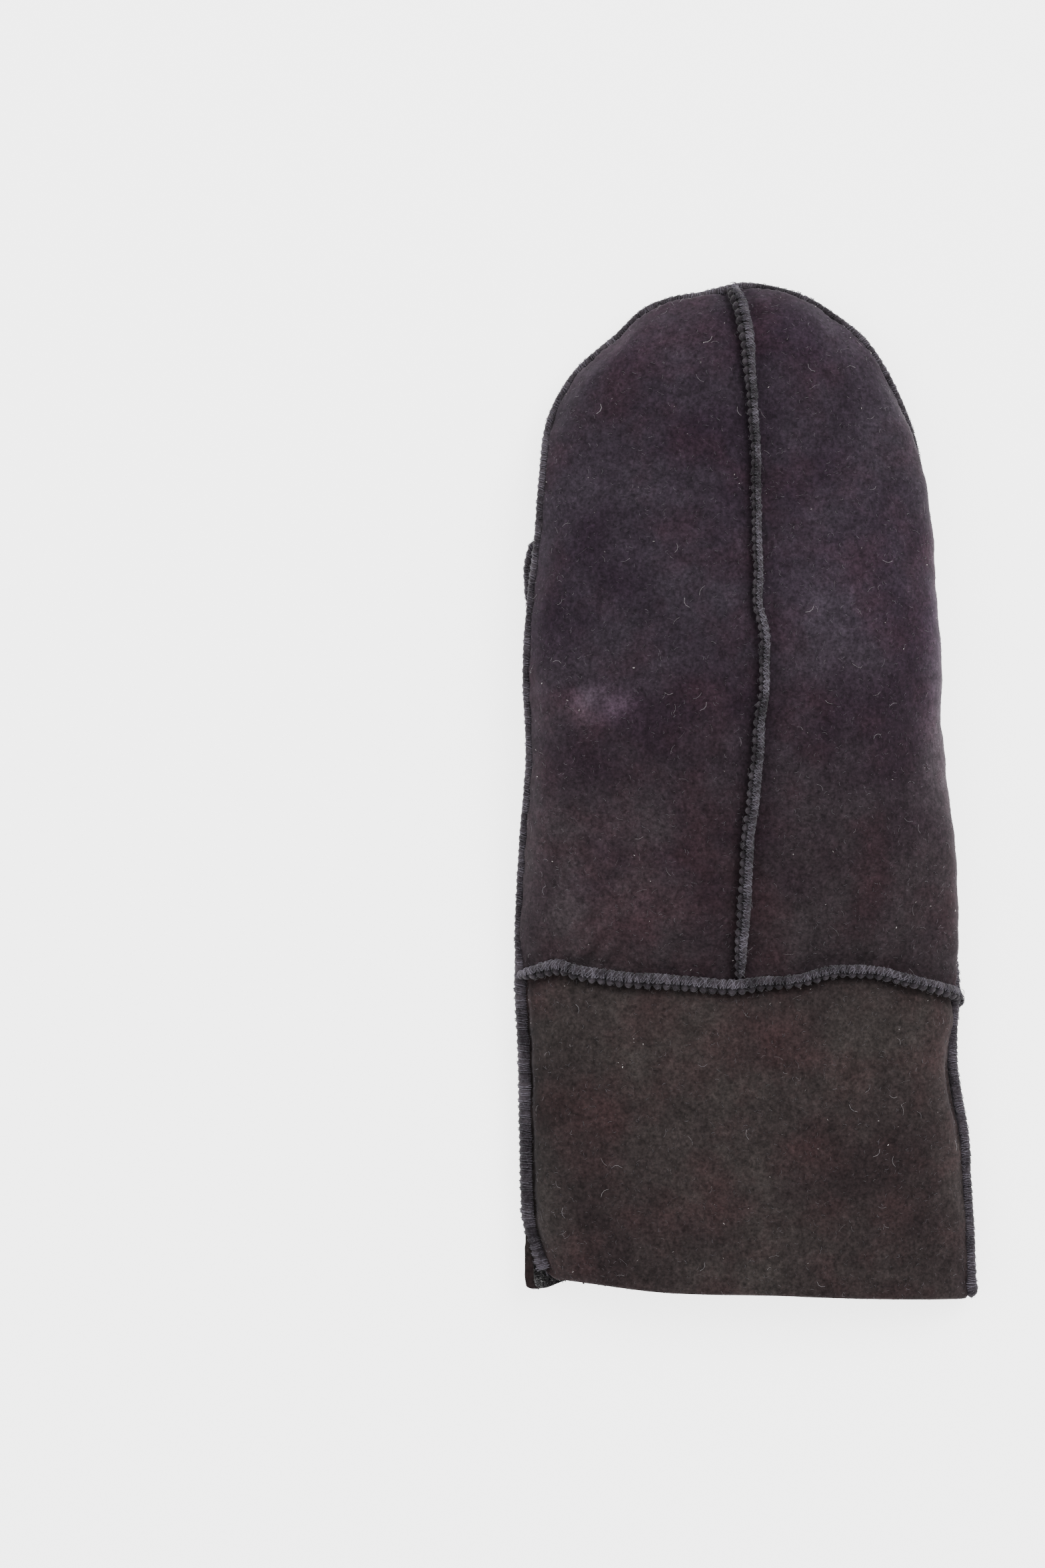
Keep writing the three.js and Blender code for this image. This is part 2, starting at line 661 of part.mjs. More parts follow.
function thumbShell() {
  const lengths = [
    ...steps(thumbMouthSteps),
    ...steps(thumbTipSteps).slice(1, -1).map((share) => 1 + share),
  ];
  const angles = steps(thumbColumns).slice(0, -1).map((share) => share * 2 * Math.PI);
  const ringsAt = (depth) => lengths.map((length) => angles.map((angle) => thumbPoint(angle, length, depth)));
  const outer = ringsAt(0);
  const inner = ringsAt(wall);
  const count = angles.length;
  const rows = lengths.length;
  const vertices = [...outer.flat(), ...inner.flat(), thumbPoint(0, 2, 0), thumbPoint(0, 2, wall)];
  const inward = rows * count;
  const [outerPole, innerPole] = [2 * inward, 2 * inward + 1];
  const triangles = [];
  const quad = (a, b, c, d) => triangles.push([a, b, c], [a, c, d]);
  for (let column = 0; column < count; column += 1) {
    const beside = (column + 1) % count;
    for (let row = 0; row < rows - 1; row += 1) {
      const [a, b] = [row * count + column, row * count + beside];
      quad(a, b, b + count, a + count);
      quad(inward + b, inward + a, inward + a + count, inward + b + count);
    }
    quad(beside, column, inward + column, inward + beside);
    const last = (rows - 1) * count;
    triangles.push([last + column, last + beside, outerPole]);
    triangles.push([inward + last + beside, inward + last + column, innerPole]);
  }
  return solid(vertices, triangles);
}

function thumbEdgeSeam() {
  const left = steps(fineSteps).map((share) => thumbPoint(Math.PI, lerp(0.06, 1, share), 0));
  const overTip = steps(fineSteps / 2).slice(1).map((share) => thumbPoint(Math.PI, 1 + share, 0));
  const backDown = [...steps(fineSteps / 2)].reverse().slice(1).map((share) => thumbPoint(0, 1 + share, 0));
  const points = [...left, ...overTip, ...backDown];
  const places = points.map((point, index) => {
    const course = points[Math.min(index + 1, points.length - 1)].clone().sub(points[Math.max(index - 1, 0)]);
    return { point, out: new THREE.Vector3(-course.y, course.x, 0).normalize() };
  });
  return ridge(evenPath(places, ridgeStep), thumbSeamWidth, thumbSeamHeight);
}

// The ridge between the rim of the thumb and the rim of its hole
function thumbBaseSeam() {
  const places = steps(ringSteps).slice(0, -1).map((share) => {
    const angle = share * 2 * Math.PI;
    const rise = clamp(thumbFlattening * Math.sin(angle), -1, 1);
    const rim = thumbHeight / 2 + (rise > 0 ? thumbHeight / 2 : thumbHeight / 2 - wall) * rise;
    const point = new THREE.Vector3(
      holeHalfWidth * Math.cos(angle),
      holeHalfLength * Math.sin(angle),
      rim + gap,
    );
    return { point, out: new THREE.Vector3(0, 0, 1) };
  });
  return ridge(places, thumbSeamWidth, thumbSeamHeight, 'closed');
}

// Cutting with a solid
const wasm = await Module();
wasm.setup();

function toManifold(geometry) {
  const bare = geometry.clone();
  bare.deleteAttribute('normal');
  bare.deleteAttribute('uv');
  const merged = mergeVertices(bare);
  return new wasm.Manifold(new wasm.Mesh({
    numProp: 3,
    vertProperties: Float32Array.from(merged.attributes.position.array),
    triVerts: Uint32Array.from(merged.index.array),
  }));
}

function fromManifold(shape) {
  const mesh = shape.getMesh();
  const geometry = new THREE.BufferGeometry();
  geometry.setAttribute('position', new THREE.BufferAttribute(mesh.vertProperties, 3));
  geometry.setIndex(new THREE.BufferAttribute(mesh.triVerts, 1));
  geometry.computeVertexNormals();
  return geometry;
}

// The hole in the palm lies just inside the ridge round it, so the rim rests on the ridge
function palmWithThumbHole(panel) {
  const rim = thumbSeamWidth / 3;
  const outline = new THREE.Shape();
  outline.absellipse(0, 0, holeHalfWidth - rim, holeHalfLength - rim, 0, 2 * Math.PI);
  const depth = 2 * (handThickness + thumbHeight);
  const cutter = new THREE.ExtrudeGeometry(outline, { depth, bevelEnabled: false, curveSegments: 16 });
  cutter.rotateZ(thumbTilt);
  cutter.translate(holeX, holeY, -depth / 2);
  return fromManifold(toManifold(panel).subtract(toManifold(cutter)));
}

// Materials
const suede = (color) => new THREE.MeshStandardMaterial({ color, roughness: 0.96, metalness: 0 });
const handSuede = suede(0x3a3238);
const cuffSuede = suede(0x3a3130);
const thumbSuede = suede(0x3d3539);
const thread = suede(0x47424a);

function piece(name, geometry, material) {
  const mesh = new THREE.Mesh(geometry, material);
  mesh.name = name;
  return mesh;
}

const leftEdgeTurn = () => -1;
const mitten = new THREE.Group();
mitten.add(
  piece(
    'back_panel_thumb_side',
    handPanel('back', leftEdgeTurn, (up) => centreTurn(up) - halfGapTurn, panelColumns),
    handSuede,
  ),
  piece(
    'back_panel_outer',
    handPanel('back', (up) => centreTurn(up) + halfGapTurn, handTuck, panelColumns),
    handSuede,
  ),
  piece(
    'palm_panel',
    palmWithThumbHole(handPanel('palm', handTuck, () => 3, wholeColumns)),
    handSuede,
  ),
  piece('cuff_back', cuffPanel('back', leftEdgeTurn, cuffTuck, wholeColumns), cuffSuede),
  piece('cuff_palm', cuffPanel('palm', cuffTuck, () => 3, wholeColumns), cuffSuede),
  piece('back_centre_seam', backCentreSeam(), thread),
  piece(
    'wrist_seam_back',
    wristSeam('back', -1 + wristClearance('back'), 1 - wristClearance('back'), wristSeamLean),
    thread,
  ),
  piece(
    'wrist_seam_palm',
    wristSeam('palm', 1 + wristClearance('palm'), 3 - wristClearance('palm'), 0),
    thread,
  ),
  piece('edge_seam', edgeSeam(), thread),
);

const thumb = new THREE.Group();
thumb.add(
  piece('thumb', thumbShell(), thumbSuede),
  piece('thumb_edge_seam', thumbEdgeSeam(), thread),
  piece('thumb_base_seam', thumbBaseSeam(), thread),
);
thumb.position.set(holeX, holeY, 0);
thumb.rotation.z = thumbTilt;
mitten.add(thumb);

// The origin is the middle of the footprint, on the surface that the mitten lies on
mitten.updateMatrixWorld(true);
const bounds = new THREE.Box3().setFromObject(mitten, true);
const middle = bounds.getCenter(new THREE.Vector3());
mitten.position.set(-middle.x, -middle.y, 0);

export default mitten;
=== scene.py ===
"""A right-hand sheepskin mitten with a long cuff, lying on its palm on a pale studio floor.

The panels are walls of double-face sheepskin, suede side out. Overcast ridges join them: two raw
edges stand side by side with waxed thread wound over them. Lengths are in millimetres until a mesh
is made, and in metres from there on.
"""
import logging
import math
from dataclasses import dataclass, field
from enum import Enum
from typing import Callable, Sequence

import bpy
import numpy as np
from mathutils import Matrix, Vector
from mathutils.kdtree import KDTree


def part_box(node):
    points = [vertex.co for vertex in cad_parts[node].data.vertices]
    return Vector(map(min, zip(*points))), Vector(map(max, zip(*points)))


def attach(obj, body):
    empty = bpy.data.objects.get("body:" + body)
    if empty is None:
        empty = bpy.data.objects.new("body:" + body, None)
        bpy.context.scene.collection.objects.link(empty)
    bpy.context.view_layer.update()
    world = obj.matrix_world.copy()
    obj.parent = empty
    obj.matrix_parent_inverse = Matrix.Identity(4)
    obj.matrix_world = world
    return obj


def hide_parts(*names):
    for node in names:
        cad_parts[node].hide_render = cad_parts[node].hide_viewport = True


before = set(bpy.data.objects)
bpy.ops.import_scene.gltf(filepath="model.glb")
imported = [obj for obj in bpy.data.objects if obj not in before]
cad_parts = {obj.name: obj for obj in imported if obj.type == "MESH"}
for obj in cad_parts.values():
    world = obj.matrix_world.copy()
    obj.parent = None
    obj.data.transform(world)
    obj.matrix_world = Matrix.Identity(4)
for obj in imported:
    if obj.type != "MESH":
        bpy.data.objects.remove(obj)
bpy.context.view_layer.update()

MM = 0.001
QUARTER = math.pi / 2
LOG = logging.getLogger("mitten")

Array = np.ndarray
Socket = bpy.types.NodeSocket
Tree = bpy.types.NodeTree


class Face(Enum):
    """The two faces of the mitten as it lies."""

    BACK = "back"
    PALM = "palm"


class Slot(Enum):
    """The record's material slots."""

    HAND = "hand_suede"
    CUFF = "cuff_suede"
    THUMB = "thumb_suede"
    THREAD = "overcast_thread"


# Small helpers


def linear(code: str) -> tuple[float, float, float, float]:
    """Turn an sRGB hex colour into linear values with full opacity."""
    parts = [int(code[start:start + 2], 16) / 255 for start in (1, 3, 5)]
    bright = [part / 12.92 if part <= 0.04045 else ((part + 0.055) / 1.055) ** 2.4 for part in parts]
    return (*bright, 1.0)


def lerp(low: Array | float, high: Array | float, share: Array | float) -> Array | float:
    """Mix two values by a share."""
    return low + (high - low) * share


def smooth(share: Array | float) -> Array:
    """Ease a share in and out, held between 0 and 1."""
    part = np.clip(share, 0, 1)
    return part * part * (3 - 2 * part)


def unit(vectors: Array) -> Array:
    """Scale vectors to length one."""
    return vectors / np.maximum(np.linalg.norm(vectors, axis=-1, keepdims=True), 1e-9)


def hump(offset: Array) -> Array:
    """A bell of height one round zero."""
    return np.exp(-offset * offset)


def waves(places: Array, length: float, seed: int, count: int = 28) -> Array:
    """Soft random waves over a plane.

    Args:
        places: Points, the last axis holding x and y (or x, y and z) in millimetres.
        length: Mean wavelength in millimetres.
        seed: Seed of the random directions and phases.
        count: How many waves are summed.

    Returns:
        A value for each point, mostly between -1 and 1.
    """
    random = np.random.default_rng(seed)
    size = places.shape[-1]
    total = np.zeros(places.shape[:-1])
    for _ in range(count):
        course = random.normal(size=size)
        course *= 2 * math.pi / (length * random.uniform(0.6, 1.6)) / np.linalg.norm(course)
        total += np.cos(places @ course + random.uniform(0, 2 * math.pi))
    return total / math.sqrt(count)


def add_node(tree: Tree, kind: str, settings: dict | None = None, inputs: dict | None = None) -> bpy.types.Node:
    """Add a node with its settings and its links.

    Args:
        tree: The tree that the node goes into.
        kind: The node's type name.
        settings: Property names with their values.
        inputs: Socket names or numbers, each with a plain value or the output that feeds it.

    Returns:
        The new node.
    """
    made = tree.nodes.new(kind)
    for name, value in (settings or {}).items():
        setattr(made, name, value)
    for key, value in (inputs or {}).items():
        if isinstance(key, int):
            socket = made.inputs[key]
        else:
            socket = next(item for item in made.inputs if item.name == key and item.enabled)
        if isinstance(value, Socket):
            tree.links.new(value, socket)
        else:
            socket.default_value = value
    return made


def out_of(node: bpy.types.Node, name: str | None = None) -> Socket:
    """The first output in use of a node, or the one of a given name."""
    return next(item for item in node.outputs if item.enabled and (name is None or item.name == name))


class Smooth:
    """A smooth curve through the rows of a table."""

    def __init__(self, rows: Sequence[Sequence[float]], column: int) -> None:
        """Take one column of a table.

        Args:
            rows: Rows whose first value is the place that they stand at.
            column: Which value of a row the curve goes through.
        """
        self.places = np.array([row[0] for row in rows], float)
        self.values = np.array([row[column] for row in rows], float)
        before = np.maximum(np.arange(len(rows)) - 1, 0)
        after = np.minimum(np.arange(len(rows)) + 1, len(rows) - 1)
        self.slopes = (self.values[after] - self.values[before]) / (self.places[after] - self.places[before])

    def __call__(self, place: Array | float) -> Array:
        """Read the curve at a place, held at its ends."""
        at = np.clip(np.asarray(place, float), self.places[0], self.places[-1])
        row = np.clip(np.searchsorted(self.places, at, side="left") - 1, 0, len(self.places) - 2)
        step = self.places[row + 1] - self.places[row]
        share = (at - self.places[row]) / step
        square = share * share
        cube = square * share
        return ((2 * cube - 3 * square + 1) * self.values[row]
                + (cube - 2 * square + share) * step * self.slopes[row]
                + (3 * square - 2 * cube) * self.values[row + 1]
                + (cube - square) * step * self.slopes[row + 1])


# The form of the mitten, with the same sizes and tables as the solids

# along, left, right, crest, lift, left up, right up, tuck
SECTIONS = (
    (0, -0.9, 1.058, 0.73, 0, 0.9, 0.9, 0),
    (0.094, -0.928, 1.029, 0.84, 0, 0.95, 1, 0),
    (0.174, -0.937, 0.998, 0.9, 0, 1, 1, 0),
    (0.238, -0.942, 0.963, 0.92, 0, 1, 1, 0),
    (0.313, -0.959, 0.995, 0.93, 0.02, 1, 1, 0.02),
    (0.372, -0.959, 1.003, 1, 0.18, 0.9, 1, 0.07),
    (0.452, -0.94, 0.979, 1.02, 0.5, 0.65, 1, 0.09),
    (0.531, -0.912, 0.942, 1.02, 0.72, 0.6, 1, 0.09),
    (0.611, -0.917, 0.933, 1, 0.8, 0.6, 1, 0.09),
    (0.69, -0.904, 0.902, 0.98, 0.75, 0.6, 1, 0.09),
    (0.75, -0.873, 0.893, 0.96, 0.6, 0.65, 1, 0.08),
    (0.809, -0.852, 0.85, 0.93, 0.32, 0.8, 1, 0.06),
    (0.869, -0.815, 0.785, 0.9, 0.1, 0.9, 0.95, 0.03),
    (0.903, -0.725, 0.704, 0.88, 0, 0.9, 0.9, 0),
    (0.934, -0.598, 0.6, 0.86, 0, 0.85, 0.85, 0),
)
SECTION_COLUMNS = ("left", "right", "crest", "lift", "left_up", "right_up", "tuck")

# across, rise
TIP_ROWS = (
    (0, 0), (0.104, 0.36), (0.204, 0.71), (0.302, 0.85), (0.403, 0.9), (0.51, 0.98),
    (0.556, 1), (0.653, 0.93), (0.755, 0.79), (0.853, 0.52), (0.954, 0.21), (1, 0),
)

# across, back, palm
WRIST_ROWS = (
    (0, 1.04, 1.04), (0.083, 1.06, 1.034), (0.133, 1.04, 1.03), (0.24, 1.013, 1.021),
    (0.382, 1, 1.01), (0.489, 0.99, 1.002), (0.561, 1, 0.996), (0.669, 1.019, 0.988),
    (0.74, 1.041, 0.982), (0.798, 1.038, 0.978), (0.884, 1.013, 0.971), (0.976, 0.975, 0.964),
    (1, 0.962, 0.962),
)

# across, rise
HEM_ROWS = ((0, 0.058), (0.08, 0.054), (0.31, 0.02), (0.6, 0.013), (0.95, 0.002), (1, 0))

# along, aside
CENTRE_ROWS = (
    (0.31, 0.027), (0.372, 0.037), (0.432, 0.055), (0.477, 0.07), (0.523, 0.092), (0.568, 0.113),
    (0.599, 0.128), (0.66, 0.127), (0.69, 0.107), (0.751, 0.101), (0.842, 0.098), (0.903, 0.079),
    (0.973, 0.045), (1, 0),
)

# across, along, wide, long, depth
DENTS = (
    (0.21, 0.352, 0.10, 0.045, 0.050), (0.33, 0.360, 0.09, 0.050, -0.035),
    (0.36, 0.330, 0.14, 0.030, 0.045), (0.22, 0.620, 0.30, 0.060, 0.040),
    (0.80, 0.500, 0.22, 0.100, -0.030), (0.74, 0.345, 0.20, 0.035, 0.040),
    (0.20, 0.190, 0.26, 0.060, 0.045), (0.55, 0.120, 0.34, 0.050, 0.040),
    (0.78, 0.215, 0.24, 0.050, 0.050), (0.50, 0.240, 0.30, 0.030, -0.030),
)

# along, width
THUMB_ROWS = ((-0.2, 0.92), (0, 0.92), (0.3, 0.95), (0.6, 1), (1, 0.98))


@dataclass(frozen=True)
class MittenForm:
    """The shape of the mitten, in millimetres, with the hem's right corner at y = 0.

    A place on a wall is a turn and a share up it. The turn goes from -1 at the left edge over the
    crest at 0 to 1 at the right edge, 2 in the middle of the palm and 3 at the left edge again.
    """

    length: float = 302
    cuff_length: float = 94.6
    hand_width: float = 131
    thickness: float = 30
    edge_height: float = 10
    wall: float = 2.4
    gap: float = 0.3
    ridge_seat: float = 0.15
    tip_depth: float = 22
    tip_rounding: float = 34
    left_shoulder_drop: float = 1.08
    right_shoulder_drop: float = 0.94
    wrist_seam_width: float = 3.8
    wrist_seam_height: float = 3
    thumb_seam_width: float = 3
    thumb_seam_height: float = 2.6
    thumb_length: float = 108
    thumb_width: float = 44
    thumb_height: float = 12
    thumb_hole_length: float = 40
    thumb_hole_above_wrist: float = 37
    thumb_hole_from_edge: float = 33
    thumb_tilt_degrees: float = 4
    thumb_tip_rounding: float = 22
    thumb_ramp: float = 15
    seam_ramp: float = 10
    back_fullness: float = 2.5
    palm_fullness: float = 6
    palm_flattening: float = 4
    cover_ease: float = 7
    thumb_side_fullness: float = 0.85
    thumb_flattening: float = 1.15
    full_tuck: float = 0.09
    probe: float = 0.01

    def section(self, y: Array | float, column: str) -> Array:
        """Read a column of the sections at a height up the mitten."""
        return Smooth(SECTIONS, SECTION_COLUMNS.index(column) + 1)(np.asarray(y) / self.length)

    def side_x(self, y: Array | float, side: str) -> Array:
        """Where the left or right edge is."""
        return self.hand_width / 2 * self.section(y, side)

    def wrist_y(self, share: Array | float, face: Face) -> Array:
        """Height of the wrist joint, across the mitten."""
        return self.cuff_length * Smooth(WRIST_ROWS, 1 if face is Face.BACK else 2)(share)

    def hem_y(self, share: Array | float) -> Array:
        """Height of the hem, across the mitten."""
        return self.cuff_length * Smooth(HEM_ROWS, 1)(share)

    def centre_x(self, y: Array | float) -> Array:
        """Where the joint down the back runs."""
        return self.hand_width / 2 * Smooth(CENTRE_ROWS, 1)(np.asarray(y) / self.length)

    @property
    def tilt(self) -> float:
        """The thumb's tilt in radians."""
        return math.radians(self.thumb_tilt_degrees)

    @property
    def hole(self) -> tuple[float, float]:
        """The middle of the thumb hole."""
        y = self.cuff_length + self.thumb_hole_above_wrist
        return float(self.side_x(y, "left")) + self.thumb_hole_from_edge, y

    @property
    def shoulders(self) -> tuple[float, float]:
        """Heights of the left and the right shoulder, where the round end starts."""
        return (self.length - self.tip_depth * self.left_shoulder_drop,
                self.length - self.tip_depth * self.right_shoulder_drop)

    def thumb_cover(self, x: Array, y: Array) -> Array:
        """Height of the palm's underside over the thumb."""
        half = self.thumb_hole_length / 2
        over_seam = self.thumb_seam_height + self.ridge_seat + 5 * self.gap
        rows = (
            (-half - self.thumb_seam_width - self.thumb_ramp, 0),
            (-half - self.thumb_seam_width, self.wall + over_seam),
            (half * 0.7, self.thumb_height + over_seam),
            (half + 2 * self.thumb_seam_width, self.thumb_height + over_seam),
            (half + 2 * self.thumb_seam_width + self.seam_ramp, self.thumb_height + 2 * self.gap),
            (self.thumb_length + self.thumb_seam_height + 4 * self.gap, self.thumb_height + 2 * self.gap),
            (self.thumb_length + self.thumb_seam_height + 1.7 * self.thumb_ramp, 0),
        )
        hole_x, hole_y = self.hole
        dx, dy = x - hole_x, y - hole_y
        along = dy * math.cos(self.tilt) - dx * math.sin(self.tilt)
        aside = np.abs(dx * math.cos(self.tilt) + dy * math.sin(self.tilt))
        reach = self.thumb_width / 2 + self.thumb_seam_height + 4 * self.gap
        places, heights = [row[0] for row in rows], [row[1] for row in rows]
        height = np.interp(along, places, heights)
        eased = sum(share * np.interp(along + offset * self.cover_ease, places, heights)
                    for offset, share in ((-1, 0.25), (-0.5, 0.2), (0, 0.1), (0.5, 0.2), (1, 0.25)))
        beyond_hole = np.maximum(smooth((aside - 19) / 6), smooth((along - half - 16) / 12))
        height = lerp(height, np.maximum(eased, 0), beyond_hole)
        return height * (1 - smooth((aside - reach) / self.thumb_ramp))

    def wrist_cover(self, x: Array, y: Array) -> Array:
        """Height of the underside over the ridge at the wrist."""
        left = self.side_x(self.wrist_y(0, Face.PALM), "left")
        right = self.side_x(self.wrist_y(1, Face.PALM), "right")
        away = np.abs(y - self.wrist_y(np.clip((x - left) / (right - left), 0, 1), Face.PALM))
        reach = self.wrist_seam_width / 2 + 3 * self.gap
        return (self.wrist_seam_height + 3 * self.gap) * (1 - smooth((away - reach) / self.seam_ramp))

    def inset(self, curve: Callable[[Array], Array], share: Array, distance: float) -> Array:
        """A curve moved to its right-hand side, seen along it."""
        before = curve(np.maximum(share - self.probe, 0))
        after = curve(np.minimum(share + self.probe, 1))
        course = unit(after - before)
        return curve(share) + np.stack([course[..., 1], -course[..., 0]], axis=-1) * distance

    def plan(self, part: str, face: Face, across: Array, up: Array, depth: float) -> Array:
        """Plan of the hand, from the wrist to the tip, or of the cuff, from the hem to the wrist.

        Args:
            part: "hand" or "cuff".
            face: Which face of the mitten.
            across: Shares from the left to the right edge.
            up: Shares from the low to the high border.
            depth: How far inside the outer face the plan lies.

        Returns:
            The x and y of each place.
        """
        hand = part == "hand"
        lows = [self.wrist_y(end, face) if hand else self.hem_y(end) for end in (0, 1)]
        highs = list(self.shoulders) if hand else [self.wrist_y(end, face) for end in (0, 1)]

        def edge(end: int) -> Callable[[Array], Array]:
            """One edge as a curve."""
            def curve(share: Array) -> Array:
                """The edge at a share of its height."""
                y = lerp(lows[end], highs[end], share)
                return np.stack([self.side_x(y, ("left", "right")[end]), y + np.zeros_like(share)], axis=-1)
            return curve

        def side(end: int, share: Array) -> Array:
            """One edge, moved in by the depth."""
            if hand:
                return self.inset(edge(end), share, -depth if end else depth)
            return edge(end)(share) + np.array([-depth if end else depth, 0.0])

        def tip(share: Array) -> Array:
            """The round end."""
            left = self.side_x(self.shoulders[0], "left")
            right = self.side_x(self.shoulders[1], "right")
            rise = self.tip_depth * Smooth(TIP_ROWS, 1)(share)
            return np.stack([lerp(left, right, share), lerp(*self.shoulders, share) + rise], axis=-1)

        def border(share: Array, top: bool) -> Array:
            """The low or the high border."""
            if top and hand:
                return self.inset(tip, share, depth)
            end = np.array(1.0 if top else 0.0)
            x = lerp(side(0, end)[0], side(1, end)[0], share)
            y = self.wrist_y(share, face) if hand or top else self.hem_y(share)
            return np.stack([x, y], axis=-1)

        across, up = np.broadcast_arrays(np.asarray(across, float), np.asarray(up, float))
        a, u = across[..., None], up[..., None]
        zero, one = np.array(0.0), np.array(1.0)
        place = side(0, up) * (1 - a) + side(1, up) * a
        place = place + border(across, False) * (1 - u) + border(across, True) * u
        place = place - border(zero, False) * (1 - a) * (1 - u) - border(one, False) * a * (1 - u)
        return place - border(zero, True) * (1 - a) * u - border(one, True) * a * u

    def dent(self, across: Array, y: Array) -> Array:
        """Depth of the dents and swells of the back."""
        depth = np.zeros_like(y)
        for middle, along, wide, long, deep in DENTS:
            dx = (across - middle) * 2 / wide
            dy = (y / self.length - along) / long
            depth = depth + deep * self.thickness * np.exp(-dx * dx - dy * dy)
        return depth

    def height(self, face: Face, turn: Array, across: Array, plan: Array, rounding: Array, depth: float) -> Array:
        """Height of the wall over a place in plan.

        Args:
            face: Which face of the mitten.
            turn: Where round the mitten the place is.
            across: The same as a share from the left to the right edge.
            plan: The x and y of each place.
            rounding: 1 on the body, falling to 0 at the very tip.
            depth: How far inside the outer face the wall's point lies.

        Returns:
            The z of each place.
        """
        x, y = plan[..., 0], plan[..., 1]
        base = self.thumb_cover(self.side_x(y, "left"), y)
        left_edge = base + self.edge_height * self.section(y, "left_up")
        edge = lerp(left_edge, self.edge_height * self.section(y, "right_up"), across)
        swing = np.abs(np.sin(turn * QUARTER))
        crest = self.thickness * self.section(y, "crest") + self.thumb_height * self.section(y, "lift")
        full = np.sqrt(np.maximum(1 - swing ** self.back_fullness, 0)) * rounding
        lift = self.gap / 2 if face is Face.BACK else -self.gap / 2
        over = edge + (crest - self.dent(across, y) - depth - edge) * full + lift
        floor = np.maximum(self.thumb_cover(x, y), self.wrist_cover(x, y)) + depth
        full = np.sqrt(np.maximum(1 - swing ** self.palm_fullness, 0)) * rounding
        under = np.maximum(edge - (edge - floor + self.palm_flattening) * full + lift, floor)
        return np.where(np.cos(turn * QUARTER) >= 0, over, under)

    def rounding(self, up: Array) -> Array:
        """How much of its thickness the hand has left towards the tip."""
        start = self.tip_start
        share = np.clip((np.asarray(up, float) - start) / (1 - start), 0, 1)
        return np.sqrt(1 - share * share)

    @property
    def tip_start(self) -> float:
        """The share up the hand at which the tip rounds off."""
        return 1 - self.tip_rounding / float(self.shoulders[0] - self.wrist_y(0, Face.BACK))

    def point(self, part: str, face: Face, turn: Array, up: Array, depth: float = 0) -> Array:
        """A point of the hand's or the cuff's wall."""
        turn, up = np.broadcast_arrays(np.asarray(turn, float), np.asarray(up, float))
        across = (np.sin(turn * QUARTER) + 1) / 2
        plan = self.plan(part, face, across, up, depth)
        rounding = self.rounding(up) if part == "hand" else np.ones_like(up)
        z = self.height(face, turn, across, plan, rounding, depth)
        return np.concatenate([plan, z[..., None]], axis=-1)

    def outward(self, part: str, face: Face, turn: Array, up: Array) -> Array:
        """Outward direction of a wall."""
        turn, up = np.broadcast_arrays(np.asarray(turn, float), np.asarray(up, float))
        probe = self.probe
        across = self.point(part, face, turn + probe, up) - self.point(part, face, turn - probe, up)
        high = self.point(part, face, turn, np.minimum(up + probe, 1))
        low = self.point(part, face, turn, np.maximum(up - probe, 0))
        return unit(np.cross(across, high - low))

    def centre_turn(self, up: Array) -> Array:
        """Where the joint down the back lies, as a turn."""
        turn = np.zeros_like(np.asarray(up, float))
        for _ in range(8):
            plan = self.plan("hand", Face.BACK, (np.sin(turn * QUARTER) + 1) / 2, up, 0)
            turn = turn + (self.centre_x(plan[..., 1]) - plan[..., 0]) / (self.hand_width / 2 * QUARTER)
        return turn

    def tuck(self, part: str, up: Array) -> Array:
        """Where the right edge lies, as a turn: past 1, because the back turns under there."""
        low = self.wrist_y(1, Face.BACK) if part == "hand" else self.hem_y(1)
        high = self.shoulders[1] if part == "hand" else self.wrist_y(1, Face.BACK)
        return 1 + np.maximum(self.section(lerp(low, high, np.asarray(up, float)), "tuck"), 0)

    def thumb_point(self, angle: Array, length: Array, depth: float = 0) -> Array:
        """A point of the thumb's wall.

        Args:
            angle: Angle round its section from the right side over the top, in radians.
            length: 0 at its mouth, 1 where the tip starts to round off, 2 at the tip.
            depth: How far inside the outer face the point lies.

        Returns:
            The point in the mitten's own coordinates.
        """
        swing = np.sin(angle)
        shoulder = self.thumb_length - self.thumb_tip_rounding
        in_tip = np.maximum(length - 1, 0)
        low = lerp(self.thumb_hole_length / 2 * swing, shoulder, np.minimum(length, 1))
        along = low + (self.thumb_tip_rounding - depth) * np.sin(in_tip * QUARTER)
        rounding = np.cos(in_tip * QUARTER)
        half = self.thumb_width / 2 * Smooth(THUMB_ROWS, 1)(along / self.thumb_length) - depth
        side = np.sign(np.cos(angle)) * np.abs(np.cos(angle)) ** self.thumb_side_fullness
        rise = np.clip(self.thumb_flattening * swing, -1, 1)
        x = half * rounding * side
        z = self.thumb_height / 2 + (self.thumb_height / 2 - depth) * rounding * rise
        return self.peeping(self.from_thumb(np.stack([x, along + 0 * x, z], axis=-1)))

    @staticmethod
    def peeping(places: Array) -> Array:
        """Push the side of the thumb's tip out, so that its ridge shows beside the hand."""
        x, y = places[..., 0], places[..., 1]
        window = smooth((y - 203) / 8) * (1 - smooth((y - 225) / 3.5))
        moved = places.copy()
        moved[..., 0] = x - 4.0 * window * smooth((-36 - x) / 14)
        return moved

    def from_thumb(self, places: Array) -> Array:
        """Turn points of the thumb's own frame into the mitten's."""
        cos, sin = math.cos(self.tilt), math.sin(self.tilt)
        x = places[..., 0] * cos - places[..., 1] * sin + self.hole[0]
        y = places[..., 0] * sin + places[..., 1] * cos + self.hole[1]
        return np.stack([x, y, places[..., 2]], axis=-1)

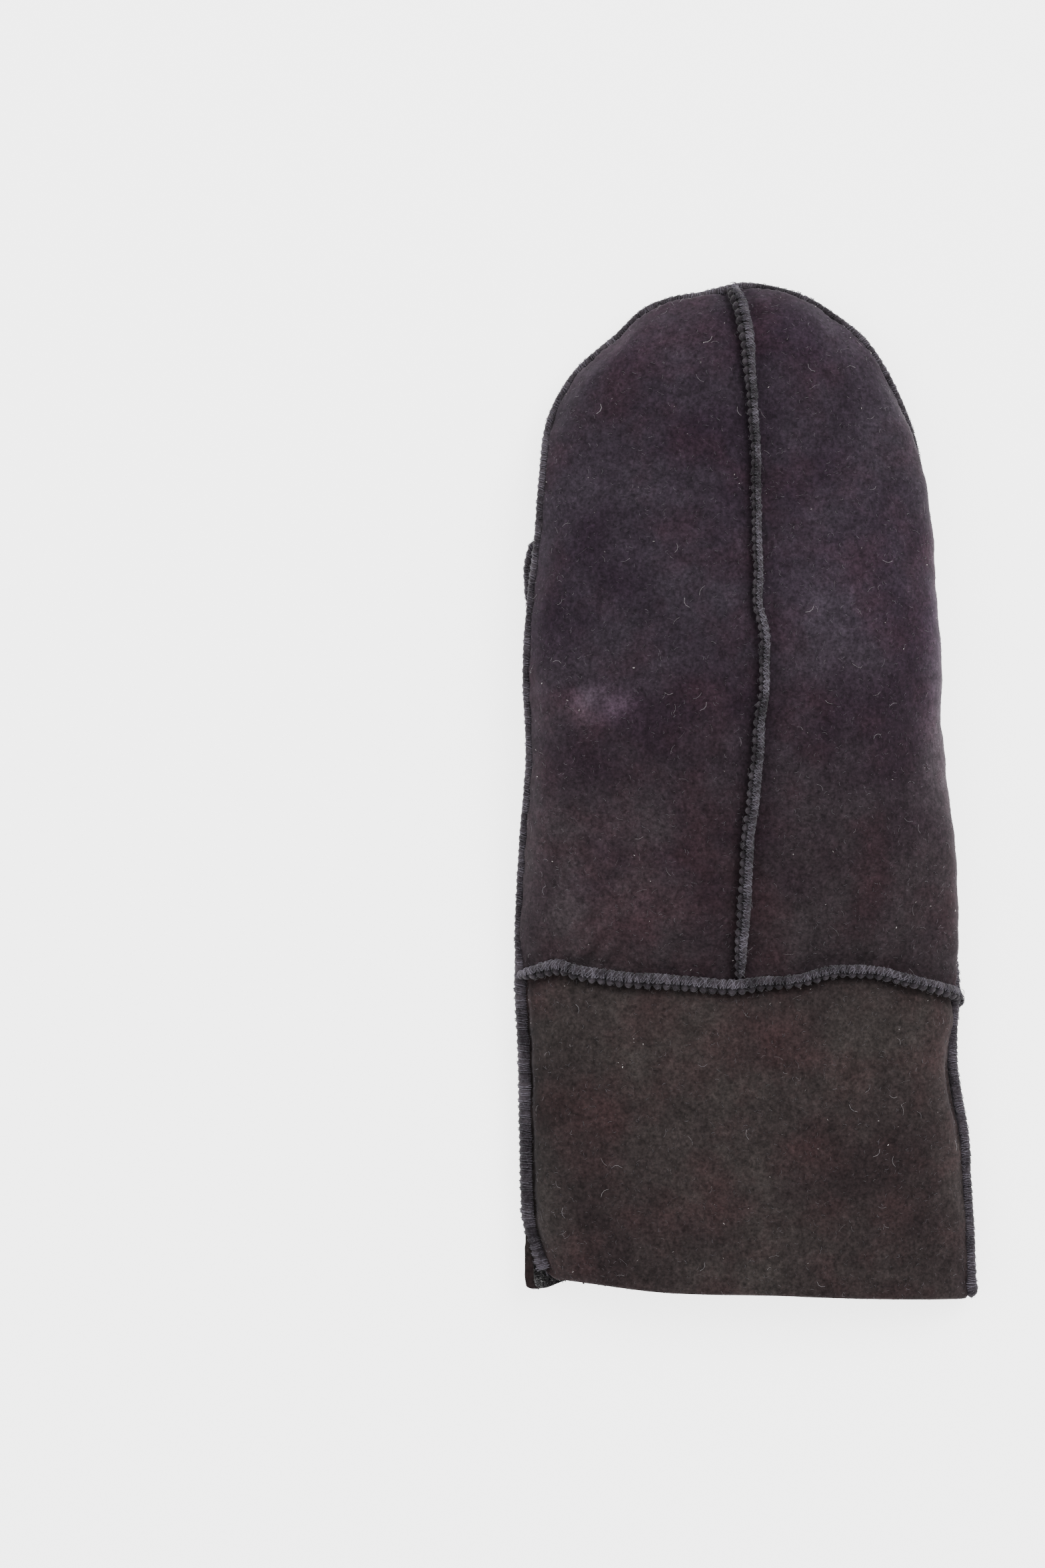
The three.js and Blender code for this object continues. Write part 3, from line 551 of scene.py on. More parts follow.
    def shift(self) -> Array:
        """From these coordinates to the frame's, read off the box of the cuff's back."""
        low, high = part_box("cuff_back")
        up = np.linspace(0, 1, 200)
        widest = self.point("cuff", Face.BACK, self.tuck("cuff", up), up)[:, 0].max()
        return np.array([high[0] / MM - widest, low[1] / MM - float(self.hem_y(1)), 0.0])


FORM = MittenForm()
SHIFT = FORM.shift()

# How the skin has eased out of its cut shape. x, y, wide, long, then the move in x and y.
EASED = (
    (36.0, 288.0, 16.0, 15.0, 1.45, 1.1),
    (56.0, 251.0, 12.0, 12.0, 0.8, 0.3),
    (14.0, 296.0, 14.0, 10.0, 0.3, 0.5),
    (-47.0, 280.0, 11.0, 11.0, -0.75, 0.65),
    (68.0, 40.0, 16.0, 56.0, 2.1, 0.0),
    (50.0, 0.0, 34.0, 14.0, 0.0, -0.7),
    (70.0, 46.0, 14.0, 7.0, 0.5, 0.0),
    (62.0, 174.0, 14.0, 8.0, -1.2, 0.0),
    (62.0, 196.0, 14.0, 22.0, -0.6, 0.0),
    (-63.0, 190.0, 12.0, 14.0, -0.5, 0.0),
)


def eased(places: Array) -> Array:
    """Move points as the skin has eased."""
    moved = places.copy()
    for x, y, wide, long, by_x, by_y in EASED:
        share = np.exp(-np.abs((places[..., 0] - x) / wide) ** 3 - np.abs((places[..., 1] - y) / long) ** 3)
        moved[..., 0] += by_x * share
        moved[..., 1] += by_y * share
    return moved


# Finishes


@dataclass(frozen=True)
class SuedeFinish:
    """Sheepskin suede: the buffed flesh side of a tanned and drum-dyed skin.

    Buffing leaves a nap of fibres 0.3 to 0.6 mm long. It gives the eye a matt, velvety surface that
    is mottled where the nap lies one way or the other. Painted shade and a painted highlight come from the piece's
    "shade" attribute.
    """

    BROWN_FROM = -0.02
    BROWN_TO = 0.05

    name: str
    dark: str
    light: str
    warm: str
    cloud_mm: float = 34
    brush_mm: float = 6
    grain_mm: float = 0.9
    fibre_mm: float = 1.7
    browned: float = 0.0
    seed: float = 0

    def build(self) -> bpy.types.Material:
        """Make the material.

        Returns:
            The suede, which reads the piece's "shade" attribute for its nap patches, painted shade and painted
            highlight.
        """
        material = bpy.data.materials.new(self.name)
        material.use_nodes = True
        tree = material.node_tree
        shader = tree.nodes["Principled BSDF"]
        place = out_of(add_node(tree, "ShaderNodeTexCoord"), "Object")
        moved = out_of(add_node(tree, "ShaderNodeMapping", None, {"Vector": place, "Location": (self.seed, 0.3 * self.seed, 0)}))
        along = out_of(add_node(tree, "ShaderNodeMapping", None, {
            "Vector": place, "Rotation": (0, 0, 0.6), "Scale": (1, 0.78, 1)}))

        def noise(source: Socket, size: float, detail: float, rough: float = 0.55) -> Socket:
            """Noise of a real size in millimetres."""
            return out_of(add_node(tree, "ShaderNodeTexNoise", None, {
                "Vector": source, "Scale": 1 / (size * MM), "Detail": detail, "Roughness": rough}))

        def spread(source: Socket, low: float, high: float, to_low: float, to_high: float) -> Socket:
            """A value moved from one range to another."""
            return out_of(add_node(tree, "ShaderNodeMapRange", {"clamp": True}, {
                "Value": source, "From Min": low, "From Max": high, "To Min": to_low, "To Max": to_high}))

        def mix(share: Socket | float, first: Socket | tuple, second: Socket | tuple, blend: str = "MIX") -> Socket:
            """Two colours mixed."""
            made = add_node(tree, "ShaderNodeMix", {"data_type": "RGBA", "blend_type": blend}, {
                "Factor": share, "A": first, "B": second})
            return out_of(made, "Result")

        def product(first: Socket, second: Socket) -> Socket:
            """Two values multiplied."""
            return out_of(add_node(tree, "ShaderNodeMath", {"operation": "MULTIPLY"}, {0: first, 1: second}))

        clouds = spread(noise(moved, self.cloud_mm, 3), 0.36, 0.64, 0, 1)
        colour = mix(clouds, linear(self.dark), linear(self.light))
        warmth = spread(noise(moved, self.cloud_mm * 0.62, 4, 0.6), 0.46, 0.7, 0, 0.75)
        colour = mix(warmth, colour, linear(self.warm))
        height = out_of(add_node(tree, "ShaderNodeSeparateXYZ", None, {"Vector": place}), "Y")
        low = spread(height, self.BROWN_FROM, self.BROWN_TO, self.browned, 0)
        colour = mix(low, colour, (1.04, 1.04, 0.86, 1.0), "MULTIPLY")
        brushed = spread(noise(moved, self.brush_mm, 5, 0.62), 0.3, 0.7, 0.8, 1.2)
        grain = noise(moved, self.grain_mm, 4, 0.7)
        fibres = noise(along, self.fibre_mm, 5, 0.72)
        nap = product(spread(grain, 0.25, 0.75, 0.4, 1.62), spread(fibres, 0.3, 0.7, 0.58, 1.42))
        # Painted shade and painted highlight, with the nap patches, reach the colour through the stored "shade"
        # attribute.
        shade = out_of(add_node(tree, "ShaderNodeAttribute", {"attribute_name": "shade"}), "Fac")
        value = product(product(brushed, nap), shade)
        grey = out_of(add_node(tree, "ShaderNodeCombineColor", None, {"Red": value, "Green": value, "Blue": value}))
        colour = mix(1.0, colour, grey, "MULTIPLY")
        tree.links.new(colour, shader.inputs["Base Color"])
        tree.links.new(spread(grain, 0.2, 0.8, 0.9, 1.0), shader.inputs["Roughness"])
        shader.inputs["Specular IOR Level"].default_value = 0.12
        shader.inputs["Sheen Weight"].default_value = 0.16
        shader.inputs["Sheen Roughness"].default_value = 0.35
        shader.inputs["Sheen Tint"].default_value = linear("#b9b0b8")
        rough = add_node(tree, "ShaderNodeBump", None, {
            "Strength": 0.5, "Distance": 0.35 * MM, "Height": noise(moved, self.brush_mm * 0.5, 4, 0.6)})
        fine = add_node(tree, "ShaderNodeBump", None, {
            "Strength": 0.55, "Distance": 0.16 * MM, "Height": grain, "Normal": out_of(rough)})
        hair = add_node(tree, "ShaderNodeBump", None, {
            "Strength": 0.4, "Distance": 0.12 * MM, "Height": fibres, "Normal": out_of(fine)})
        tree.links.new(out_of(hair), shader.inputs["Normal"])
        return material


@dataclass(frozen=True)
class ThreadFinish:
    """Waxed polyester sewing thread, twisted and drum-dyed.

    The twist gives the eye fine slanting strands, the wax a dull cool gleam on top of them.
    """

    name: str
    dark: str
    light: str
    strand_mm: float = 0.5
    rough: float = 0.78
    shine: float = 0.3
    sheen: float = 0.2
    relief_mm: float = 0.12
    shaded: bool = False

    def build(self) -> bpy.types.Material:
        """Make the material."""
        material = bpy.data.materials.new(self.name)
        material.use_nodes = True
        tree = material.node_tree
        shader = tree.nodes["Principled BSDF"]
        place = out_of(add_node(tree, "ShaderNodeTexCoord"), "Object")
        broad = out_of(add_node(tree, "ShaderNodeTexNoise", None, {
            "Vector": place, "Scale": 1 / (7 * MM), "Detail": 3.0}))
        strands = out_of(add_node(tree, "ShaderNodeTexNoise", None, {
            "Vector": place, "Scale": 1 / (self.strand_mm * MM), "Detail": 4.0, "Roughness": 0.7}))
        sum_ = out_of(add_node(tree, "ShaderNodeMath", {"operation": "ADD"}, {0: broad, 1: strands}))
        share = out_of(add_node(tree, "ShaderNodeMapRange", {"clamp": True}, {
            "Value": sum_, "From Min": 0.84, "From Max": 1.16, "To Min": 0.0, "To Max": 1.0}))
        colour = out_of(add_node(tree, "ShaderNodeMix", {"data_type": "RGBA"}, {
            "Factor": share, "A": linear(self.dark), "B": linear(self.light)}), "Result")
        # Painted shade from the piece's "shade" attribute, which darkens the ridge's notches and groove.
        if self.shaded:
            shade = out_of(add_node(tree, "ShaderNodeAttribute", {"attribute_name": "shade"}), "Fac")
            grey = out_of(add_node(tree, "ShaderNodeCombineColor", None, {"Red": shade, "Green": shade, "Blue": shade}))
            colour = out_of(add_node(tree, "ShaderNodeMix", {"data_type": "RGBA", "blend_type": "MULTIPLY"}, {
                "Factor": 1.0, "A": colour, "B": grey}), "Result")
        tree.links.new(colour, shader.inputs["Base Color"])
        dull = out_of(add_node(tree, "ShaderNodeMapRange", {"clamp": True}, {
            "Value": strands, "From Min": 0.3, "From Max": 0.7, "To Min": self.rough - 0.08, "To Max": self.rough + 0.1}))
        tree.links.new(dull, shader.inputs["Roughness"])
        shader.inputs["Specular IOR Level"].default_value = self.shine
        shader.inputs["Sheen Weight"].default_value = self.sheen
        shader.inputs["Sheen Roughness"].default_value = 0.5
        bump = add_node(tree, "ShaderNodeBump", None, {
            "Strength": 0.8, "Distance": self.relief_mm * MM, "Height": strands})
        tree.links.new(out_of(bump), shader.inputs["Normal"])
        return material


@dataclass(frozen=True)
class FibreFinish:
    """Loose fibre: lint, wool and nap hairs that lie on the suede, matt and a little see-through."""

    name: str
    colour: str
    other: str

    def build(self) -> bpy.types.Material:
        """Make the material."""
        material = bpy.data.materials.new(self.name)
        material.use_nodes = True
        tree = material.node_tree
        shader = tree.nodes["Principled BSDF"]
        place = out_of(add_node(tree, "ShaderNodeTexCoord"), "Object")
        noise = out_of(add_node(tree, "ShaderNodeTexNoise", None, {
            "Vector": place, "Scale": 1 / (4 * MM), "Detail": 2.0}))
        share = out_of(add_node(tree, "ShaderNodeMapRange", {"clamp": True}, {
            "Value": noise, "From Min": 0.4, "From Max": 0.6}))
        colour = out_of(add_node(tree, "ShaderNodeMix", {"data_type": "RGBA"}, {
            "Factor": share, "A": linear(self.colour), "B": linear(self.other)}), "Result")
        tree.links.new(colour, shader.inputs["Base Color"])
        bump = add_node(tree, "ShaderNodeBump", None, {"Strength": 0.3, "Distance": 0.05 * MM, "Height": noise})
        tree.links.new(out_of(bump), shader.inputs["Normal"])
        shader.inputs["Roughness"].default_value = 0.9
        shader.inputs["Sheen Weight"].default_value = 0.3
        return material


@dataclass(frozen=True)
class WoolFinish:
    """Clipped sheep's wool, dyed with the skin: the pile on the inner face.

    Clipping leaves a dense curly pile of about 5 mm, which gives the eye small dark knots and
    lighter curl tops without any gloss.
    """

    name: str
    dark: str
    light: str
    curl_mm: float = 1.8

    def build(self) -> bpy.types.Material:
        """Make the material."""
        material = bpy.data.materials.new(self.name)
        material.use_nodes = True
        tree = material.node_tree
        shader = tree.nodes["Principled BSDF"]
        place = out_of(add_node(tree, "ShaderNodeTexCoord"), "Object")
        curls = out_of(add_node(tree, "ShaderNodeTexVoronoi", {"feature": "SMOOTH_F1"}, {
            "Vector": place, "Scale": 1 / (self.curl_mm * MM)}), "Distance")
        fuzz = out_of(add_node(tree, "ShaderNodeTexNoise", None, {
            "Vector": place, "Scale": 1 / (0.7 * MM), "Detail": 4.0}))
        sum_ = out_of(add_node(tree, "ShaderNodeMath", {"operation": "ADD"}, {0: curls, 1: fuzz}))
        share = out_of(add_node(tree, "ShaderNodeMapRange", {"clamp": True}, {
            "Value": sum_, "From Min": 0.5, "From Max": 1.3, "To Min": 1.0, "To Max": 0.0}))
        colour = out_of(add_node(tree, "ShaderNodeMix", {"data_type": "RGBA"}, {
            "Factor": share, "A": linear(self.dark), "B": linear(self.light)}), "Result")
        tree.links.new(colour, shader.inputs["Base Color"])
        bump = add_node(tree, "ShaderNodeBump", {"invert": True}, {
            "Strength": 0.9, "Distance": 0.9 * MM, "Height": sum_})
        tree.links.new(out_of(bump), shader.inputs["Normal"])
        shader.inputs["Roughness"].default_value = 0.97
        shader.inputs["Specular IOR Level"].default_value = 0.15
        shader.inputs["Sheen Weight"].default_value = 0.35
        return material


# Meshes


def closed_wall(outer: Array, inner: Array, faces: Array) -> tuple[Array, Array, int]:
    """Close a wall between an outer and an inner sheet with the same faces.

    Args:
        outer: Points of the outer sheet.
        inner: Points of the inner sheet, one for each outer one.
        faces: Quads of the outer sheet, as numbers of points.

    Returns:
        The points, the quads with the outer ones first, and how many outer quads there are.
    """
    count = len(outer)
    edges = np.concatenate([faces[:, [corner, (corner + 1) % 4]] for corner in range(4)])
    low, high = edges.min(axis=1).astype(np.int64), edges.max(axis=1).astype(np.int64)
    _, first, times = np.unique(low * count + high, return_index=True, return_counts=True)
    rim = edges[first[times == 1]]
    sides = np.stack([rim[:, 1], rim[:, 0], rim[:, 0] + count, rim[:, 1] + count], axis=1)
    quads = np.concatenate([faces, sides, faces[:, ::-1] + count])
    return np.concatenate([outer, inner]), quads, len(faces)


def facing_out(points: Array, quads: Array) -> Array:
    """Turn the quads of a closed shape so that they face outwards."""
    a, b, c, d = (points[quads[:, corner]] for corner in range(4))
    volume = np.einsum("ij,ij->i", a, np.cross(b, c) + np.cross(c, d)).sum()
    return quads if volume > 0 else quads[:, ::-1]


def make_object(name: str, points: Array, quads: Array, materials: Sequence[bpy.types.Material],
                indices: Array | None = None, shade: Array | None = None) -> bpy.types.Object:
    """Make an object at the origin from points in metres.

    Args:
        name: The piece's name.
        points: Its points.
        quads: Its faces.
        materials: Its materials.
        indices: The material's number for each face.
        shade: How light each point is, where 1 is plain, painted shade and highlight included.

    Returns:
        The object, smooth shaded and in the scene.
    """
    mesh = bpy.data.meshes.new(name)
    mesh.from_pydata(points.tolist(), [], quads.tolist())
    for material in materials:
        mesh.materials.append(material)
    mesh.polygons.foreach_set("use_smooth", np.ones(len(quads), bool))
    if indices is not None:
        mesh.polygons.foreach_set("material_index", indices.astype(np.int32))
    if shade is not None:
        mesh.attributes.new("shade", "FLOAT", "POINT").data.foreach_set("value", shade.astype(np.float32))
    mesh.update()
    item = bpy.data.objects.new(name, mesh)
    bpy.context.scene.collection.objects.link(item)
    return item


def in_frame(places: Array) -> Array:
    """Millimetres of the form to metres of the frame."""
    return (eased(places) + SHIFT) * MM


def grid_faces(rows: int, columns: int) -> Array:
    """Quads of a grid of points, row by row."""
    corner = (np.arange(rows - 1)[:, None] * columns + np.arange(columns - 1)).ravel()
    return np.stack([corner, corner + 1, corner + 1 + columns, corner + columns], axis=1)


# Seams


@dataclass
class SeamPath:
    """The course of an overcast ridge.

    Attributes:
        points: Places on the joint, in millimetres.
        out: Outward directions, away from the joint.
        girth: How thick the ridge is at each place, where 1 is its full size.
        closed: Whether the path comes back to its start; not used.
        flip: Whether the scalloped side is the other one.
        valley: How deep the skin is drawn in beside the ridge, and how strong the painted shade there is, where 1 is
            plain.
        shadow: How much deeper it is on the scalloped side, and how much painted shadow darkens it there.
        hang: How far the skin of the back bulges out over the ridge, in millimetres.
    """

    name: str
    points: Array
    out: Array
    width: float
    height: float
    girth: Array = field(default_factory=lambda: np.ones(1))
    lean: Array | float = 0.0
    closed: bool = False
    flip: bool = False
    valley: Array | float = 1.0
    shadow: float = 0.0
    hang: Array | float = 0.0
    sunk: float = 0.32
    full_girth: float = 0.86
    step: float = 0.5

    def __post_init__(self) -> None:
        """Even the path out so that its places lie a step apart."""
        count = len(self.points)
        for label in ("girth", "lean", "valley", "hang"):
            setattr(self, label, np.broadcast_to(getattr(self, label), (count,)).astype(float))
        run = np.concatenate([[0], np.cumsum(np.linalg.norm(np.diff(self.points, axis=0), axis=1))])
        total = run[-1]
        self.run = np.linspace(0, total, max(int(round(total / self.step)), 4) + 1)

        def even(values: Array) -> Array:
            """Read values at the new places."""
            if values.ndim == 1:
                return np.interp(self.run, run, values)
            return np.stack([np.interp(self.run, run, column) for column in values.T], axis=1)

        self.points, self.out = even(self.points), unit(even(self.out))
        for label in ("girth", "lean", "valley", "hang"):
            setattr(self, label, even(getattr(self, label)))
        self.thinned = np.maximum(self.full_girth - self.girth, 0) / 2
        course = unit(np.gradient(self.points, axis=0))
        side = unit(np.cross(course, self.out))
        self.side = -side if self.flip else side
        self.out = unit(np.cross(side, course))

    @property
    def length(self) -> float:
        """Length of the path."""
        return float(self.run[-1])

    def core(self) -> Array:
        """The middle line of the ridge, about a third of its height above the joint."""
        rise = (self.height * (self.sunk + self.thinned))[:, None]
        sideways = -1.0 if self.flip else 1.0
        return self.points + self.out * rise + self.side * sideways * self.lean[:, None] * rise

    def ended(self, at_start: float, at_end: float) -> "SeamPath":
        """Give the ridge rounded, thicker ends, where the thread is locked."""
        for strength, distance in ((at_start, self.run), (at_end, self.length - self.run)):
            if strength:
                knob = 1 + (strength - 1) * np.exp(-((distance - 2.2) / 2.6) ** 2)
                self.girth = self.girth * knob * np.sqrt(np.clip(distance / 1.6, 0.02, 1))
        return self


class SeamMap:
    """Finds how near each place of a wall is to one ridge."""

    def __init__(self, path: SeamPath) -> None:
        """Sort the places of the path."""
        self.path = path
        self.tree = KDTree(len(path.points))
        for number, place in enumerate(path.points):
            self.tree.insert(Vector(place), number)
        self.tree.balance()

    def near(self, places: Array) -> tuple[Array, Array, Array]:
        """Find the nearest place of the ridge.

        Args:
            places: Points of a wall.

        Returns:
            For each point its distance, the number of the path's place, and how far it lies to the
            scalloped side.
        """
        found = [self.tree.find(Vector(place)) for place in places.reshape(-1, 3)]
        distance = np.array([item[2] for item in found])
        number = np.array([item[1] for item in found])
        away = places.reshape(-1, 3) - self.path.points[number]
        aside = np.sum(away * self.path.side[number], axis=1)
        shape = places.shape[:-1]
        return distance.reshape(shape), number.reshape(shape), aside.reshape(shape)


@dataclass
class SeamCourses:
    """Works out the course of each overcast ridge."""

    steps: int = 400
    centre_size: tuple[float, float] = (3.5, 3.3)
    wrist_size: tuple[float, float] = (4.7, 3.7)
    edge_size: tuple[float, float] = (3.3, 3.5)
    thumb_size: tuple[float, float] = (2.8, 2.6)

    def centre(self) -> SeamPath:
        """Down the middle of the back."""
        up = np.linspace(0.012, 0.9985, self.steps)
        turn = FORM.centre_turn(up)
        points = FORM.point("hand", Face.BACK, turn, up)
        points[:, 0] += 0.25 * waves(points[:, 1:2], 26, 5)
        thick = np.interp(points[:, 1], (97, 112, 150, 185, 250, 272, 288), (0.95, 1.15, 1.1, 0.88, 0.82, 0.95, 1.3))
        return SeamPath("back_centre_seam", points, FORM.outward("hand", Face.BACK, turn, up),
                        *self.centre_size, girth=thick, lean=-0.5, flip=True, shadow=0.7).ended(0.9, 0.9)

    def wrist(self, face: Face) -> SeamPath:
        """Between hand and cuff."""
        back = face is Face.BACK
        turn = np.linspace(-0.97, 1.0, self.steps) if back else np.linspace(1.06, 2.94, self.steps)
        points = FORM.point("hand", face, turn, np.zeros(self.steps))
        if back:
            points[:, 1] += 0.4 + 0.3 * waves(points[:, :1], 24, 8) - 1.7 * hump((points[:, 0] + 59) / 13)
        out = FORM.outward("hand", face, turn, np.zeros(self.steps))
        if back:
            end = points[-1] + np.array([[0.6, -0.6, -0.7], [1.0, -1.6, -1.9], [1.1, -2.8, -3.0], [0.9, -3.8, -4.0]])
            points = np.concatenate([points, end])
            out = np.concatenate([out, np.tile([0.8, -0.1, 0.6], (4, 1))])
        thick = np.interp(points[:, 0], (-66, -54, 4, 16), (0.72, 1.0, 1.0, 0.84)) if back else np.ones(len(points))
        path = SeamPath(f"wrist_seam_{face.value}", points, out, *self.wrist_size, girth=thick,
                        lean=0.35 if back else 0.0, shadow=0.6 if back else 0.0)
        return path.ended(0.7, 1.1)

    def edge(self) -> SeamPath:
        """Round the whole edge, from the left corner of the hem over the tip to the right one."""
        up, tip = np.linspace(0, 1, self.steps), np.linspace(0, 1, self.steps // 2)[1:-1]
        tuck_hand, tuck_cuff = FORM.tuck("hand", up), FORM.tuck("cuff", up)
        over = FORM.point("hand", Face.BACK, lerp(-1, FORM.tuck("hand", np.array(1.0)), tip), np.ones_like(tip))
        parts = [
            (FORM.point("cuff", Face.BACK, -1, up), 0 * up),
            (FORM.point("hand", Face.BACK, -1, up)[1:], 0 * up[1:]),
            (over, 0 * tip),
            (FORM.point("hand", Face.BACK, tuck_hand, up)[::-1], (tuck_hand[::-1] - 1) / FORM.full_tuck),
            (FORM.point("cuff", Face.BACK, tuck_cuff, up)[::-1][1:], (tuck_cuff[::-1][1:] - 1) / FORM.full_tuck),
        ]
        points = np.concatenate([part[0] for part in parts])
        tucked = np.concatenate([part[1] for part in parts])
        points[:, 2] -= FORM.gap / 2
        course = np.gradient(points, axis=0)
        out = unit(np.stack([-course[:, 1], course[:, 0], np.zeros(len(course))], axis=1))
        points = points - out * (0.9 * tucked)[:, None]
        out[:, 2] = -2.2 * tucked
        run = np.concatenate([[0], np.cumsum(np.linalg.norm(np.diff(points, axis=0), axis=1))])
        curl = np.clip(1 - run / 20, 0, 1) ** 1.5
        points = points + np.stack([4.6 * curl, 0 * curl, 1.9 * curl], axis=1)
        out = unit(out + np.stack([0.5 * curl, 0 * curl, 1.2 * curl], axis=1))
        kept = run > 2.4
        points, out = points[kept], out[kept]
        right = smooth((points[:, 0] + 10) / 20)
        low = smooth((108 - points[:, 1]) / 18)
        tip = smooth((points[:, 1] - 258) / 20)
        thick = lerp(lerp(lerp(0.74, 0.8, right), lerp(1.32, 0.95, right), low), 0.72 + 0.13 * np.sin(2 * run[kept]), tip)
        points = points - out * (0.5 * low * (1 - right))[:, None]
        bare = np.interp(points[:, 1], (0, 40, 58, 70, 84, 100), (0.5, 0.1, -0.9, -0.9, 0.9, 1.4))
        hang = lerp(lerp(lerp(0.9, 0.0, right), lerp(0.1, bare, right), low), 1.0, tip)
        valley = lerp(lerp(0.45, lerp(1.5, 0.3, right), low), 0.15, tip)
        return SeamPath("edge_seam", points, out, *self.edge_size, girth=thick, valley=valley,
                        hang=hang).ended(1.15, 1.2)

    def thumb_edge(self) -> SeamPath:
        """Along the thumb's open side and over its tip."""
        side, tip = np.linspace(0.04, 1, self.steps // 2), np.linspace(0, 1, self.steps // 4)
        points = np.concatenate([
            FORM.thumb_point(np.array(math.pi), side),
            FORM.thumb_point(np.array(math.pi), 1 + tip[1:]),
            FORM.thumb_point(np.array(0.0), 1 + tip[::-1][1:]),
        ])
        course = np.gradient(points, axis=0)
        out = unit(np.stack([-course[:, 1], course[:, 0], np.zeros(len(course))], axis=1))
        return SeamPath("thumb_edge_seam", points, out, *self.thumb_size).ended(0.9, 0.9)

    def thumb_base(self) -> SeamPath:
        """Round the thumb hole, between the rim of the thumb and the rim of the hole."""
        angle = np.linspace(0, 2 * math.pi, self.steps)
        rise = np.clip(FORM.thumb_flattening * np.sin(angle), -1, 1)
        half = FORM.thumb_height / 2
        rim = half + np.where(rise > 0, half, half - FORM.wall) * rise
        half_width = FORM.thumb_width / 2 * float(Smooth(THUMB_ROWS, 1)(0))
        places = np.stack([half_width * np.cos(angle), FORM.thumb_hole_length / 2 * np.sin(angle), rim + FORM.gap], axis=1)
        out = np.tile([0.0, 0.0, 1.0], (len(angle), 1))
        return SeamPath("thumb_base_seam", FORM.from_thumb(places), out, *self.thumb_size, closed=True)


# Geometry Nodes


class NodesTool:
    """A Geometry Nodes tree with named inputs, which ends in real geometry with its material set."""

    SOCKETS = {float: "NodeSocketFloat", int: "NodeSocketInt"}

    def __init__(self, name: str, inputs: dict[str, float | int]) -> None:
        """Start a tree.

        Args:
            name: Name of the tree.
            inputs: Names of its inputs with their values at first.
        """
        self.tree = bpy.data.node_groups.new(name, "GeometryNodeTree")
        face = self.tree.interface
        face.new_socket("Geometry", in_out="INPUT", socket_type="NodeSocketGeometry")
        face.new_socket("Geometry", in_out="OUTPUT", socket_type="NodeSocketGeometry")
        self.keys: dict[str, str] = {}
        for label, value in inputs.items():
            socket = face.new_socket(label, in_out="INPUT", socket_type=self.SOCKETS[type(value)])
            socket.default_value = value
            self.keys[label] = socket.identifier
        self.keys["Material"] = face.new_socket(
            "Material", in_out="INPUT", socket_type="NodeSocketMaterial").identifier
        self.source = self.tree.nodes.new("NodeGroupInput")

    def given(self, name: str) -> Socket:
        """One of the tree's own inputs."""
        return self.source.outputs[name]

    def add(self, kind: str, settings: dict | None = None, inputs: dict | None = None, name: str | None = None) -> Socket:
        """Add a node and give the output that is used."""
        return out_of(add_node(self.tree, kind, settings, inputs), name)

    def number(self, operation: str, *values: Socket | float) -> Socket:
        """A sum on numbers."""
        return self.add("ShaderNodeMath", {"operation": operation}, dict(enumerate(values)))

    def vector(self, operation: str, first: Socket | tuple, second: Socket | tuple, name: str = "Vector") -> Socket:
        """A sum on vectors."""
        return self.add("ShaderNodeVectorMath", {"operation": operation}, {0: first, 1: second}, name)

    def scaled(self, vector: Socket, size: Socket | float) -> Socket:
        """A vector times a number."""
        return self.add("ShaderNodeVectorMath", {"operation": "SCALE"}, {"Vector": vector, "Scale": size})

    def stored(self, name: str, kind: str = "FLOAT") -> Socket:
        """A named attribute of the geometry."""
        return self.add("GeometryNodeInputNamedAttribute", {"data_type": kind}, {"Name": name}, "Attribute")

    def random(self, low: float, high: float, seed: int) -> Socket:
        """A random number for each point, which follows the tree's seed."""
        salt = self.number("ADD", self.given("Seed"), float(seed))
        return self.add("FunctionNodeRandomValue", {"data_type": "FLOAT"}, {"Min": low, "Max": high, "Seed": salt})

    def finish(self, geometry: Socket) -> None:
        """End the tree."""
        real = self.add("GeometryNodeRealizeInstances", None, {"Geometry": geometry})
        soft = self.add("GeometryNodeSetShadeSmooth", None, {"Geometry": real})
        dressed = self.add("GeometryNodeSetMaterial", None, {"Geometry": soft, "Material": self.given("Material")})
        self.tree.links.new(dressed, self.tree.nodes.new("NodeGroupOutput").inputs[0])

    def run(self, item: bpy.types.Object, material: bpy.types.Material, **values: float) -> bpy.types.Object:
        """Run the tree on an object and keep the result as its plain mesh.

        Args:
            item: The object, which holds what the tree starts from.
            material: The finish that the tree sets.
            **values: Inputs by name, with spaces as underscores.

        Returns:
            The same object, without the modifier.
        """
        modifier = item.modifiers.new(self.tree.name, "NODES")
        modifier.node_group = self.tree
        modifier[self.keys["Material"]] = material
        for label, value in values.items():
            modifier[self.keys[label.replace("_", " ").capitalize()]] = value
        graph = bpy.context.evaluated_depsgraph_get()
        graph.update()
        mesh = bpy.data.meshes.new_from_object(item.evaluated_get(graph))
        item.modifiers.clear()
        item.data = mesh
        return item


